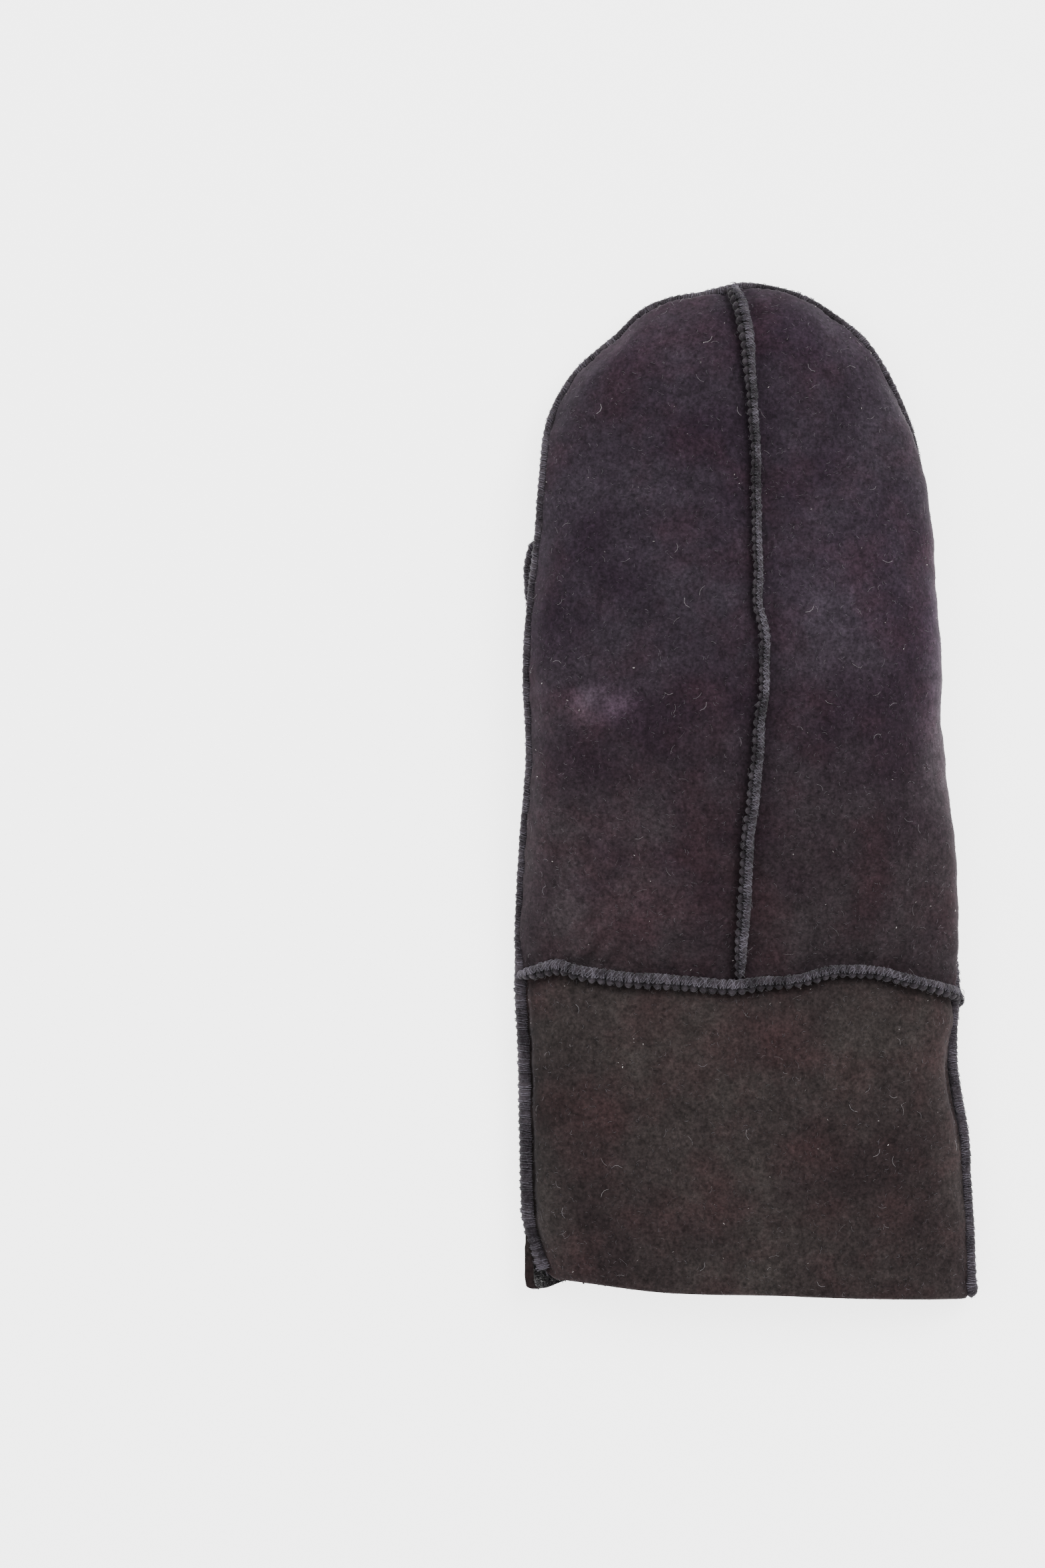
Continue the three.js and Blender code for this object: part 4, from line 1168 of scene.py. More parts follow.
def ridge_tool() -> NodesTool:
    """The raw edges of the ridge: a swept roll, pinched in at each stitch and scalloped on one side.

    Its lip, the raw edge that the thread leaves bare, runs from the scalloped side up to the angle
    "Lip", where a groove divides it from the wound edge.

    Returns:
        The tree. It starts from a line of points with the attributes out, side, girth and run.
    """
    tool = NodesTool("overcast_ridge", {
        "Width": 0.0036, "Height": 0.0032, "Ring step": 0.0004, "Pitch": 0.0027,
        "Scallop": 0.25, "Groove": 0.28, "Lip": 1.0, "Wobble": 0.2, "Seed": 1,
    })
    line = tool.add("GeometryNodeMeshToCurve", None, {"Mesh": tool.given("Geometry")})
    even = tool.add("GeometryNodeResampleCurve", {"mode": "LENGTH"}, {"Curve": line, "Length": tool.given("Ring step")})
    position = tool.add("GeometryNodeInputPosition")
    marked = tool.add("GeometryNodeStoreNamedAttribute", {"data_type": "FLOAT_VECTOR", "domain": "POINT"}, {
        "Geometry": even, "Name": "centre", "Value": position})
    circle = tool.add("GeometryNodeCurvePrimitiveCircle", {"mode": "RADIUS"}, {"Resolution": 20, "Radius": 0.001}, "Curve")
    tube = tool.add("GeometryNodeCurveToMesh", None, {"Curve": marked, "Profile Curve": circle, "Fill Caps": True})
    centre = tool.stored("centre", "FLOAT_VECTOR")
    side, out = tool.stored("side", "FLOAT_VECTOR"), tool.stored("out", "FLOAT_VECTOR")
    spoke = tool.vector("NORMALIZE", tool.vector("SUBTRACT", position, centre), (0.0, 0.0, 0.0))
    to_side = tool.vector("DOT_PRODUCT", spoke, side, "Value")
    to_out = tool.vector("DOT_PRODUCT", spoke, out, "Value")
    phase = tool.number("DIVIDE", tool.number("MULTIPLY", tool.stored("run"), math.pi), tool.given("Pitch"))
    bulge = tool.number("POWER", tool.number("ABSOLUTE", tool.number("SINE", phase)), 0.6)
    pinch = tool.number("SUBTRACT", 1.0, bulge)
    lip = tool.number("COSINE", tool.given("Lip"))
    past_lip = tool.number("SUBTRACT", to_side, lip)
    on_lip = tool.add("ShaderNodeMapRange", {"interpolation_type": "SMOOTHSTEP"}, {
        "Value": past_lip, "From Min": -0.1, "From Max": 0.25, "To Min": 0.25, "To Max": 1.2})
    notch = tool.number("MULTIPLY", tool.number("MULTIPLY", pinch, on_lip), tool.given("Scallop"))
    from_groove = tool.number("DIVIDE", past_lip, 0.2)
    bell = tool.number("EXPONENT", tool.number("MULTIPLY", tool.number("MULTIPLY", from_groove, from_groove), -1.0))
    upper = tool.number("MAXIMUM", to_out, 0.0)
    deeper = tool.number("ADD", 0.65, tool.number("MULTIPLY", pinch, 0.6))
    groove = tool.number("MULTIPLY", tool.number("MULTIPLY", bell, upper), tool.number("MULTIPLY", deeper, tool.given("Groove")))
    sunk = tool.number("MULTIPLY", tool.number("MULTIPLY", bell, upper), tool.number("ADD", 0.35, pinch))
    notch = tool.number("ADD", notch, groove)
    turned = tool.add("ShaderNodeTexNoise", {"noise_dimensions": "4D"}, {
        "Vector": centre, "W": tool.given("Seed"), "Scale": 1 / (3.4 * MM), "Detail": 3.0})
    crumple = tool.number("MULTIPLY", tool.number("SUBTRACT", turned, 0.5), tool.given("Wobble"))
    fine = tool.add("ShaderNodeTexNoise", {"noise_dimensions": "4D"}, {
        "Vector": position, "W": tool.given("Seed"), "Scale": 1 / (1.3 * MM), "Detail": 2.0})
    rough = tool.number("MULTIPLY", tool.number("SUBTRACT", fine, 0.5), tool.number("MULTIPLY", tool.given("Wobble"), 1.2))
    size = tool.number("ADD", tool.number("SUBTRACT", 1.0, notch), tool.number("ADD", crumple, rough))
    size = tool.number("MULTIPLY", size, tool.stored("girth"))
    wide = tool.number("MULTIPLY", tool.number("MULTIPLY", to_side, size), tool.number("MULTIPLY", tool.given("Width"), 0.5))
    high = tool.number("MULTIPLY", tool.number("MULTIPLY", to_out, size), tool.number("MULTIPLY", tool.given("Height"), 0.5))
    place = tool.vector("ADD", centre, tool.vector("ADD", tool.scaled(side, wide), tool.scaled(out, high)))
    # Painted shade: the stored "shade" attribute darkens the notches between the lobes, their pinches and the groove
    # beside the lip.
    depth = tool.number("MULTIPLY", tool.number("ADD", notch, tool.number("MULTIPLY", pinch, 0.18)), 1.7)
    depth = tool.number("ADD", depth, tool.number("MULTIPLY", sunk, tool.given("Groove")))
    shade = tool.number("MAXIMUM", tool.number("SUBTRACT", 1.3, depth), 0.12)
    marked = tool.add("GeometryNodeStoreNamedAttribute", {"data_type": "FLOAT", "domain": "POINT"}, {
        "Geometry": tube, "Name": "shade", "Value": shade})
    shaped = tool.add("GeometryNodeSetPosition", None, {"Geometry": marked, "Position": place})
    tool.finish(shaped)
    return tool


class Winding(Enum):
    """How the thread lies on a ridge.

    Each strand has its arc, how far ahead it starts, how much it slants, how much it bows (all in
    pitches), its points, and how wide it lies. A whole arc starts under the lip and a half one at
    its groove.
    """

    LAPPED = (
        ("whole", 0.0, 0.3, 0.0, 12, 0.97), ("half", -0.40, 0.9, 0.25, 8, 1.0),
        ("half", -0.05, -0.8, -0.25, 8, 1.02), ("half", 0.12, 0.3, 0.4, 7, 1.04),
        ("half", 0.3, 1.3, 0.15, 8, 1.0), ("half", 0.66, -0.6, 0.25, 8, 1.02), ("half", 0.5, 0.5, -0.4, 7, 1.05),
    )
    WOUND = (
        ("whole", 0.0, 0.3, 0.1, 10, 0.92), ("whole", 0.26, 0.5, 0.2, 8, 1.05),
        ("whole", 0.5, 0.2, -0.2, 9, 1.11), ("whole", 0.76, 0.3, -0.15, 8, 1.04),
    )


def stitch_tool(winding: Winding) -> NodesTool:
    """The thread of the ridge: a few strands wound over it at each stitch.

    Args:
        winding: How the strands lie.

    Returns:
        The tree. It starts from a line of points with the attributes out, side and girth.
    """
    tool = NodesTool(f"overcast_stitches_{winding.name.lower()}", {
        "Pitch": 0.0027, "Width": 0.0036, "Height": 0.0032, "Thread radius": 0.00016, "Slant": 0.35,
        "Lip": 1.0, "Sink": 0.3, "Jitter": 0.1, "Seed": 1,
    })
    line = tool.add("GeometryNodeMeshToCurve", None, {"Mesh": tool.given("Geometry")})
    even = tool.add("GeometryNodeResampleCurve", {"mode": "LENGTH"}, {"Curve": line, "Length": tool.given("Pitch")})
    half_width = tool.number("MULTIPLY", tool.given("Width"), 0.5)
    half_height = tool.number("MULTIPLY", tool.given("Height"), 0.5)
    lip = tool.number("COSINE", tool.given("Lip"))
    position = tool.add("GeometryNodeInputPosition")
    split = add_node(tool.tree, "ShaderNodeSeparateXYZ", None, {"Vector": position})
    on_lip = tool.add("ShaderNodeMapRange", {"interpolation_type": "SMOOTHSTEP"}, {
        "Value": tool.number("SUBTRACT", split.outputs["X"], lip), "From Min": -0.05, "From Max": 0.3,
        "To Min": 0.0, "To Max": 1.0})
    drawn_in = tool.number("SUBTRACT", 1.0, tool.number("MULTIPLY", on_lip, tool.given("Sink")))
    across = tool.number("MULTIPLY", split.outputs["X"], drawn_in)
    above = tool.number("MULTIPLY", split.outputs["Y"], drawn_in)
    profile = tool.add("GeometryNodeCurvePrimitiveCircle", {"mode": "RADIUS"}, {
        "Resolution": 4, "Radius": tool.given("Thread radius")}, "Curve")
    joined = tool.tree.nodes.new("GeometryNodeJoinGeometry")
    start, end = math.radians(-36), math.radians(214)
    for kind, ahead, slant, bow, points, wide in winding.value:
        first = start if kind == "whole" else tool.given("Lip")
        curve = tool.add("GeometryNodeCurveArc", {"mode": "RADIUS"}, {
            "Resolution": points, "Radius": 1.0, "Start Angle": first,
            "Sweep Angle": tool.number("SUBTRACT", end, first)}, "Curve")
        lie = tool.number("MULTIPLY", tool.number("MULTIPLY", tool.given("Slant"), slant), across)
        forward = tool.number("ADD", tool.number("ADD", lie, ahead), tool.number("MULTIPLY", above, bow))
        place = tool.add("ShaderNodeCombineXYZ", None, {
            "X": tool.number("MULTIPLY", forward, tool.given("Pitch")),
            "Y": tool.number("MULTIPLY", across, tool.number("MULTIPLY", half_width, wide)),
            "Z": tool.number("MULTIPLY", above, tool.number("MULTIPLY", half_height, wide))})
        strand = tool.add("GeometryNodeSetPosition", None, {"Geometry": curve, "Position": place})
        thick = tool.add("GeometryNodeCurveToMesh", None, {"Curve": strand, "Profile Curve": profile, "Fill Caps": True})
        tool.tree.links.new(thick, joined.inputs[0])
    aim = tool.add("FunctionNodeAxesToRotation", {"primary_axis": "Z", "secondary_axis": "Y"}, {
        "Primary Axis": tool.stored("out", "FLOAT_VECTOR"), "Secondary Axis": tool.stored("side", "FLOAT_VECTOR")})
    turns = [tool.number("MULTIPLY", tool.random(-1.0, 1.0, salt), tool.given("Jitter")) for salt in (11, 12, 13)]
    sway = tool.add("FunctionNodeEulerToRotation", None, {
        "Euler": tool.add("ShaderNodeCombineXYZ", None, dict(zip(("X", "Y", "Z"), turns)))})
    aim = tool.add("FunctionNodeRotateRotation", {"rotation_space": "LOCAL"}, {"Rotation": aim, "Rotate By": sway})
    size = tool.number("MULTIPLY", tool.stored("girth"), tool.random(0.94, 1.05, 14))
    scale = tool.add("ShaderNodeCombineXYZ", None, {"X": tool.random(0.75, 1.25, 15), "Y": size, "Z": size})
    placed = tool.add("GeometryNodeInstanceOnPoints", None, {
        "Points": even, "Instance": joined.outputs[0], "Rotation": aim, "Scale": scale})
    tool.finish(placed)
    return tool


def fibre_tool() -> NodesTool:
    """Loose fibres scattered over a surface.

    Returns:
        The tree. It starts from the surface that the fibres lie on.
    """
    tool = NodesTool("loose_fibres", {
        "Density": 10000.0, "Length": 0.003, "Radius": 0.00005, "Curl": 0.3, "Lift": 0.0001,
        "Rise": 0.1, "Seed": 1,
    })
    spots = add_node(tool.tree, "GeometryNodeDistributePointsOnFaces", {"distribute_method": "RANDOM"}, {
        "Mesh": tool.given("Geometry"), "Density": tool.given("Density"), "Seed": tool.given("Seed")})
    length = tool.given("Length")
    half = tool.number("MULTIPLY", length, 0.5)
    bend = tool.number("MULTIPLY", length, tool.given("Curl"))
    rise = tool.number("ADD", tool.given("Lift"), tool.number("MULTIPLY", length, tool.given("Rise")))
    start = tool.add("ShaderNodeCombineXYZ", None, {"X": tool.number("MULTIPLY", half, -1.0), "Z": tool.given("Lift")})
    middle = tool.add("ShaderNodeCombineXYZ", None, {"Y": bend, "Z": tool.number("MULTIPLY", rise, 1.4)})
    end = tool.add("ShaderNodeCombineXYZ", None, {"X": half, "Z": rise})
    hair = tool.add("GeometryNodeCurveQuadraticBezier", None, {
        "Resolution": 3, "Start": start, "Middle": middle, "End": end})
    profile = tool.add("GeometryNodeCurvePrimitiveCircle", {"mode": "RADIUS"}, {
        "Resolution": 3, "Radius": tool.given("Radius")}, "Curve")
    thick = tool.add("GeometryNodeCurveToMesh", None, {"Curve": hair, "Profile Curve": profile, "Fill Caps": True})
    spin = tool.add("FunctionNodeEulerToRotation", None, {
        "Euler": tool.add("ShaderNodeCombineXYZ", None, {"Z": tool.random(-math.pi, math.pi, 21)})})
    aim = tool.add("FunctionNodeRotateRotation", {"rotation_space": "LOCAL"}, {
        "Rotation": spots.outputs["Rotation"], "Rotate By": spin})
    size = tool.random(0.35, 1.25, 22)
    bow = tool.number("MULTIPLY", size, tool.random(-1.2, 1.2, 23))
    scale = tool.add("ShaderNodeCombineXYZ", None, {"X": size, "Y": bow, "Z": 1.0})
    placed = tool.add("GeometryNodeInstanceOnPoints", None, {
        "Points": spots.outputs["Points"], "Instance": thick, "Rotation": aim, "Scale": scale})
    tool.finish(placed)
    return tool


# Pieces

# Where the suede is lighter or darker: brushed nap, a painted highlight on the lit right rim of the hand
# and painted shade beside the left ridge of the cuff. x, y, wide, long in millimetres, gain, how sharp its rim is.
NAP_AND_PAINTED_LIGHT = (
    (-39.8, 177.4, 9.6, 5.4, 1.45, 4.0),
    (-36.0, 183.0, 22.0, 14.0, 0.12, 2.0),
    (-34.0, 200.0, 24.0, 12.0, -0.08, 2.0),
    (-36.0, 125.0, 26.0, 21.0, 0.34, 2.5),
    (33.0, 209.0, 24.0, 30.0, 0.24, 2.5),
    # Painted highlight: the right rim of the hand, lit at a grazing angle.
    (59.6, 188.0, 4.2, 38.0, 1.15, 2.2),
    (64.0, 50.0, 6.0, 42.0, 0.14, 3.0),
    (30.0, 105.0, 30.0, 12.0, -0.08, 2.0),
    (-44.0, 60.0, 16.0, 30.0, -0.05, 2.0),
    # Painted shade beside the ridge at the left of the cuff.
    (-62.0, 46.0, 3.6, 56.0, -0.6, 3.0),
    (-58.0, 46.0, 7.0, 56.0, -0.22, 2.5),
    (59.0, 92.0, 8.0, 10.0, -0.15, 2.0),
    (-38.0, 263.0, 15.0, 20.0, -0.1, 2.0),
    (-36.0, 285.0, 30.0, 8.0, 0.22, 2.0),
    (34.0, 289.0, 24.0, 8.0, 0.28, 2.0),
)

# Creases of the back. x, y of the middle in millimetres, angle in degrees, half length, width, depth.
CREASES = (
    (-41.0, 105.5, 62, 9.0, 1.5, 0.55),
    (-36.5, 103.0, 74, 7.0, 1.3, 0.45),
    (-50.0, 100.5, 20, 6.0, 1.4, 0.40),
    (22.0, 103.0, 100, 8.0, 2.0, 0.30),
    (48.0, 101.0, 78, 9.0, 2.2, 0.35),
    (-52.0, 130.0, 84, 16.0, 2.6, 0.25),
    (46.0, 82.0, 70, 11.0, 2.4, 0.35),
    (-20.0, 78.0, 12, 14.0, 2.6, 0.25),
    (-55.0, 262.0, 40, 10.0, 2.2, 0.25),
    (30.0, 285.0, 110, 8.0, 2.0, 0.25),
)


@dataclass
class Skin:
    """How a sheepskin wall gives at its seams and where it has been handled, in millimetres."""

    valley_depth: float = 0.75
    valley_at: float = 2.9
    valley_reach: float = 1.9
    puff: float = 0.5
    puff_at: float = 13
    puff_reach: float = 8
    pucker: float = 0.16
    pucker_pitch: float = 2.7
    pucker_reach: float = 3.4
    swell: float = 0.42
    ripple: float = 0.1
    quiet_reach: float = 7
    pinned_reach: float = 1.8
    seam_shade: float = 0.26
    lee_shade: float = 0.5
    hang_at: float = 2.2
    hang_reach: float = 2.4
    seams: tuple[SeamMap, ...] = ()

    def relief(self, places: Array, seed: int, amount: float = 1.0) -> tuple[Array, Array, Array]:
        """Work out how far the surface stands out, its painted shade and where it hangs over.

        Args:
            places: Points of the outer sheet.
            seed: Seed of the soft waves.
            amount: How much of the soft waves shows.

        Returns:
            The height above the plain form in millimetres, the painted shade beside the ridges, and
            the sideways move over the ridges, for each point.
        """
        shape = places.shape[:-1]
        valley, puff, pucker, pull = (np.zeros(shape) for _ in range(4))
        free, shade, pin = np.ones(shape), np.ones(shape), np.ones(shape)
        hang = np.zeros(places.shape)
        depth = self.pucker * (1 + 0.6 * waves(places[..., :2], 19, seed + 3))
        slow = 2 * waves(places[..., :2], 40, seed + 5)
        for seam in self.seams:
            near, number, aside = seam.near(places)
            path = seam.path
            lee = path.shadow * smooth(aside / 0.8)
            drawn = path.valley[number]
            run = path.run[number]
            valley = np.maximum(valley, (drawn + lee) * hump((near - self.valley_at) / self.valley_reach))
            puff = np.maximum(puff, drawn * hump((near - self.puff_at) / self.puff_reach))
            pucker += depth * np.sin(2 * math.pi * run / self.pucker_pitch) * np.exp(-near / self.pucker_reach)
            pull += 0.22 * np.sin(2 * math.pi * run / 11.3 + slow) * np.exp(-near / 8)
            free = np.minimum(free, 1 - np.exp(-(near / self.quiet_reach) ** 2))
            # Painted shade in the valley beside each ridge, and painted shadow on its scalloped side.
            painted_shade = 1 - self.seam_shade * drawn * np.exp(-(near / 3.2) ** 2)
            painted_shade -= self.lee_shade * lee * hump((near - path.width / 2 - 0.5) / 1.3)
            shade = np.minimum(shade, painted_shade)
            beside = hump((near - self.hang_at) / self.hang_reach) * path.hang[number]
            hang += path.out[number] * beside[..., None]
            pin = np.minimum(pin, smooth(near / self.pinned_reach))
        hang[..., 2] = 0
        swell = self.swell * waves(places[..., :2], 42, seed) + self.ripple * waves(places[..., :2], 12, seed + 1)
        swell = swell + 0.03 * waves(places[..., :2], 4.2, seed + 2)
        height = -self.valley_depth * valley + self.puff * puff * amount + pucker + pull + swell * free * amount
        return height * pin, shade, hang

    @staticmethod
    def overhang(places: Array, turn: Array, face: Face) -> Array:
        """How far the rolled right edge of the hand hangs out over its ridge."""
        weight = np.maximum(FORM.section(places[..., 1], "tuck"), 0) / FORM.full_tuck
        if face is Face.BACK:
            return 2.5 * weight * smooth((turn - 0.4) / 0.45) * (1 - 0.85 * smooth((turn - 0.94) / 0.13))
        return 0.375 * weight * (1 - smooth((turn - 1.08) / 0.2))

    @staticmethod
    def corner(places: Array, from_hem: Array, face: Face) -> Array:
        """How the left corner of the hem bulges out beside the end of the ridge."""
        from_left = places[..., 0] - FORM.side_x(places[..., 1], "left")
        out = np.zeros(places.shape)
        if face is Face.PALM:
            out[..., 0] = -3.7 * hump(from_left / 6) * hump(from_hem / 20)
            out[..., 1] = -4.6 * hump(from_left / 7) * hump(from_hem / 8)
            out[..., 2] = 3.4 * hump(from_left / 4) * hump(from_hem / 15)
        else:
            out[..., 0] = 1.8 * hump(from_left / 9) * hump(from_hem / 11)
        radius = 5.5
        u, v = np.clip(1 - from_left / radius, 0, 1), np.clip(1 - from_hem / radius, 0, 1)
        out[..., 0] += radius * u * (1 - np.sqrt(1 - v * v / 2))
        out[..., 1] += radius * v * (1 - np.sqrt(1 - u * u / 2))
        return out

    @staticmethod
    def crease(places: Array) -> Array:
        """Depth of the creases of the back."""
        total = np.zeros(places.shape[:-1])
        for x, y, angle, long, wide, deep in CREASES:
            course = math.radians(angle)
            dx, dy = places[..., 0] - x, places[..., 1] - y
            along = dx * math.cos(course) + dy * math.sin(course)
            aside = dy * math.cos(course) - dx * math.sin(course) + 0.8 * np.sin(along / long * 2)
            total += deep * (hump(aside / wide) - 0.5 * hump((aside - 2.2 * wide) / wide)) * hump(along / long)
        return total

    @staticmethod
    def nap(places: Array) -> Array:
        """How light the suede is, as a factor: brushed nap, a painted highlight and painted shade."""
        gain = np.ones(places.shape[:-1])
        for x, y, wide, long, strength, sharp in NAP_AND_PAINTED_LIGHT:
            ragged = 1 + 0.35 * waves(places[..., :2], 9, 71)
            reach = np.hypot((places[..., 0] - x) / wide, (places[..., 1] - y) / long)
            gain += strength * ragged * np.exp(-reach ** sharp)
        return np.clip(gain, 0.3, 3.0)


@dataclass
class Panel:
    """One sheepskin wall of the hand or the cuff."""

    name: str
    part: str
    face: Face
    slot: Slot
    start: Callable[[Array], Array]
    end: Callable[[Array], Array]
    columns: int
    rows: int
    seed: int
    amount: float = 1.0

    def ups(self) -> Array:
        """Rows up the wall, closer together where it turns over an edge."""
        if self.part == "hand":
            start = FORM.tip_start
            body = np.linspace(0, start, int(self.rows * 0.8))
            tip = start + (1 - start) * np.sin(np.linspace(0, QUARTER, self.rows - len(body) + 1)[1:])
            return np.concatenate([body, tip])
        hem = np.array([0, 0.12, 0.3, 0.55, 0.85]) / FORM.cuff_length
        return np.concatenate([hem, np.linspace(1.3 / FORM.cuff_length, 1, self.rows)])

    def sheets(self, skin: Skin) -> tuple[Array, Array, Array]:
        """Outer and inner points, row by row, and the outer shade: nap patches with painted shade and highlight."""
        up = self.ups()[:, None]
        share = np.linspace(0, 1, self.columns)[None, :]
        turn = lerp(self.start(up), self.end(up), share)
        outer = FORM.point(self.part, self.face, turn, up, 0)
        inner = FORM.point(self.part, self.face, turn, up, FORM.wall)
        total, shade, hang = skin.relief(outer, self.seed, self.amount)
        normal = np.cross(np.gradient(outer, axis=1), np.gradient(outer, axis=0))
        normal = unit(normal)
        if self.face is Face.BACK:
            crease = skin.crease(outer)
            total = total - crease
            # The nap's gain, which holds a painted highlight and painted shade too, and painted shade in each crease
            # with painted light on its shoulder.
            shade = shade * skin.nap(outer) * (1 - 0.45 * np.clip(crease, -0.3, 0.8))
            normal = normal * np.sign(np.sum(normal * (outer - inner), axis=-1, keepdims=True).mean())
        else:
            total = -np.abs(total) * 0.6
            from_left = outer[..., 0] - FORM.side_x(outer[..., 1], "left")
            # Painted shade on the palm's left corner at the hem.
            shade = shade * (1 - 0.5 * hump(from_left / 9) * hump(outer[..., 1] / 26))
            normal = normal * np.sign(np.sum(normal * (outer - inner), axis=-1, keepdims=True).mean())
        if self.part == "cuff":
            from_hem = up * FORM.cuff_length + 0 * share
            total = total * smooth(from_hem / 3) - 0.55 * hump(from_hem / 0.5)
        move = normal * total[..., None]
        if self.part == "hand":
            move[..., 0] += skin.overhang(outer, turn, self.face)
        else:
            move += skin.corner(outer, from_hem, self.face)
            hang = hang * smooth((from_hem - 6) / 10)[..., None]
        if self.face is Face.BACK:
            move += hang
        outer = outer + move
        inner = inner + move * 0.9
        return outer, inner, shade

    def build(self, skin: Skin, suede: bpy.types.Material, wool: bpy.types.Material) -> bpy.types.Object:
        """Make the wall.

        Args:
            skin: How the sheepskin gives.
            suede: Finish of the outer face and the cut edges.
            wool: Finish of the inner face.

        Returns:
            The finished piece.
        """
        outer, inner, shade = self.sheets(skin)
        faces = grid_faces(*outer.shape[:2])
        flat_outer, flat_inner = outer.reshape(-1, 3), inner.reshape(-1, 3)
        faces, flat_outer, flat_inner = self.cut(faces, flat_outer, flat_inner)
        points, quads, outside = closed_wall(flat_outer, flat_inner, faces)
        points[:, 2] = np.maximum(points[:, 2], 0.02)
        used = np.unique(quads)
        place = np.zeros(len(points), int)
        place[used] = np.arange(len(used))
        shades = np.concatenate([shade.ravel(), shade.ravel()])[used]
        indices = np.zeros(len(quads), int)
        indices[len(quads) - outside:] = 1
        metres = in_frame(points[used])
        quads = place[quads]
        return make_object(self.name, metres, facing_out(metres, quads), (suede, wool), indices, shades)

    def cut(self, faces: Array, outer: Array, inner: Array) -> tuple[Array, Array, Array]:
        """Cut what the wall has holes for. A plain wall has none."""
        return faces, outer, inner


@dataclass
class PalmPanel(Panel):
    """The palm, with the hole that the thumb is sewn into."""

    rim: float = 1.0

    def cut(self, faces: Array, outer: Array, inner: Array) -> tuple[Array, Array, Array]:
        """Cut the thumb hole and draw the points beside it onto its rim."""
        half_width = FORM.thumb_width / 2 * float(Smooth(THUMB_ROWS, 1)(0)) - self.rim
        half_length = FORM.thumb_hole_length / 2 - self.rim
        cos, sin = math.cos(FORM.tilt), math.sin(FORM.tilt)

        def local(points: Array) -> tuple[Array, Array]:
            """Place in the hole's own axes, as shares of its half sizes."""
            dx, dy = points[:, 0] - FORM.hole[0], points[:, 1] - FORM.hole[1]
            return (dx * cos + dy * sin) / half_width, (dy * cos - dx * sin) / half_length

        reach = np.hypot(*local(outer))
        kept = faces[(reach[faces] > 1).any(axis=1)]
        moved = []
        for points in (outer, inner):
            across, along = local(points)
            size = np.maximum(np.hypot(across, along), 1e-6)
            across, along = across / size * half_width, along / size * half_length
            drawn = points.copy()
            drawn[:, 0] = FORM.hole[0] + across * cos - along * sin
            drawn[:, 1] = FORM.hole[1] + across * sin + along * cos
            moved.append(np.where((reach < 1)[:, None], drawn, points))
        return kept, moved[0], moved[1]


@dataclass
class Thumb:
    """The folded thumb under the palm."""

    rows: int = 104
    columns: int = 80
    tip_rows: int = 24
    seed: int = 40

    def points(self, depth: float) -> Array:
        """Rings of points from the mouth to the tip."""
        angle = np.linspace(0, 2 * math.pi, self.columns, endpoint=False)[None, :]
        length = np.concatenate([np.linspace(0, 1, self.rows), 1 + np.linspace(0, 1, self.tip_rows)[1:-1] ** 0.9])
        return FORM.thumb_point(angle, length[:, None], depth)

    def build(self, skin: Skin, suede: bpy.types.Material, wool: bpy.types.Material) -> bpy.types.Object:
        """Make the thumb as a closed wall with a hole at its mouth."""
        outer, inner = self.points(0), self.points(FORM.wall)
        total, shade, _ = skin.relief(outer, self.seed, 0.5)
        normal = unit(outer - inner)
        move = -np.abs(total)[..., None] * 0.5 * normal
        outer, inner = outer + move, inner + move * 0.5
        rows, columns = outer.shape[:2]
        count = rows * columns
        row, column = np.meshgrid(np.arange(rows - 1), np.arange(columns), indexing="ij")
        a = (row * columns + column).ravel()
        b = (row * columns + (column + 1) % columns).ravel()
        outside = np.stack([a, b, b + columns, a + columns], axis=1)
        mouth_a, mouth_b = np.arange(columns), (np.arange(columns) + 1) % columns
        mouth = np.stack([mouth_b, mouth_a, mouth_a + count, mouth_b + count], axis=1)
        half = columns // 2
        caps = []
        last = (rows - 1) * columns
        for step in range(half - 1):
            low, high = last + step, last + (columns - step) % columns
            caps.append([low, low + 1, last + columns - step - 1, high])
        caps = np.array(caps)
        quads = np.concatenate([outside, caps, mouth, outside[:, ::-1] + count, caps[:, ::-1] + count])
        points = np.concatenate([outer.reshape(-1, 3), inner.reshape(-1, 3)])
        points[:, 2] = np.maximum(points[:, 2], 0.02)
        indices = np.zeros(len(quads), int)
        indices[len(outside) + len(caps) + len(mouth):] = 1
        metres = in_frame(points)
        shades = np.concatenate([shade.ravel(), shade.ravel()])
        return make_object("thumb", metres, facing_out(metres, quads), (suede, wool), indices, shades)


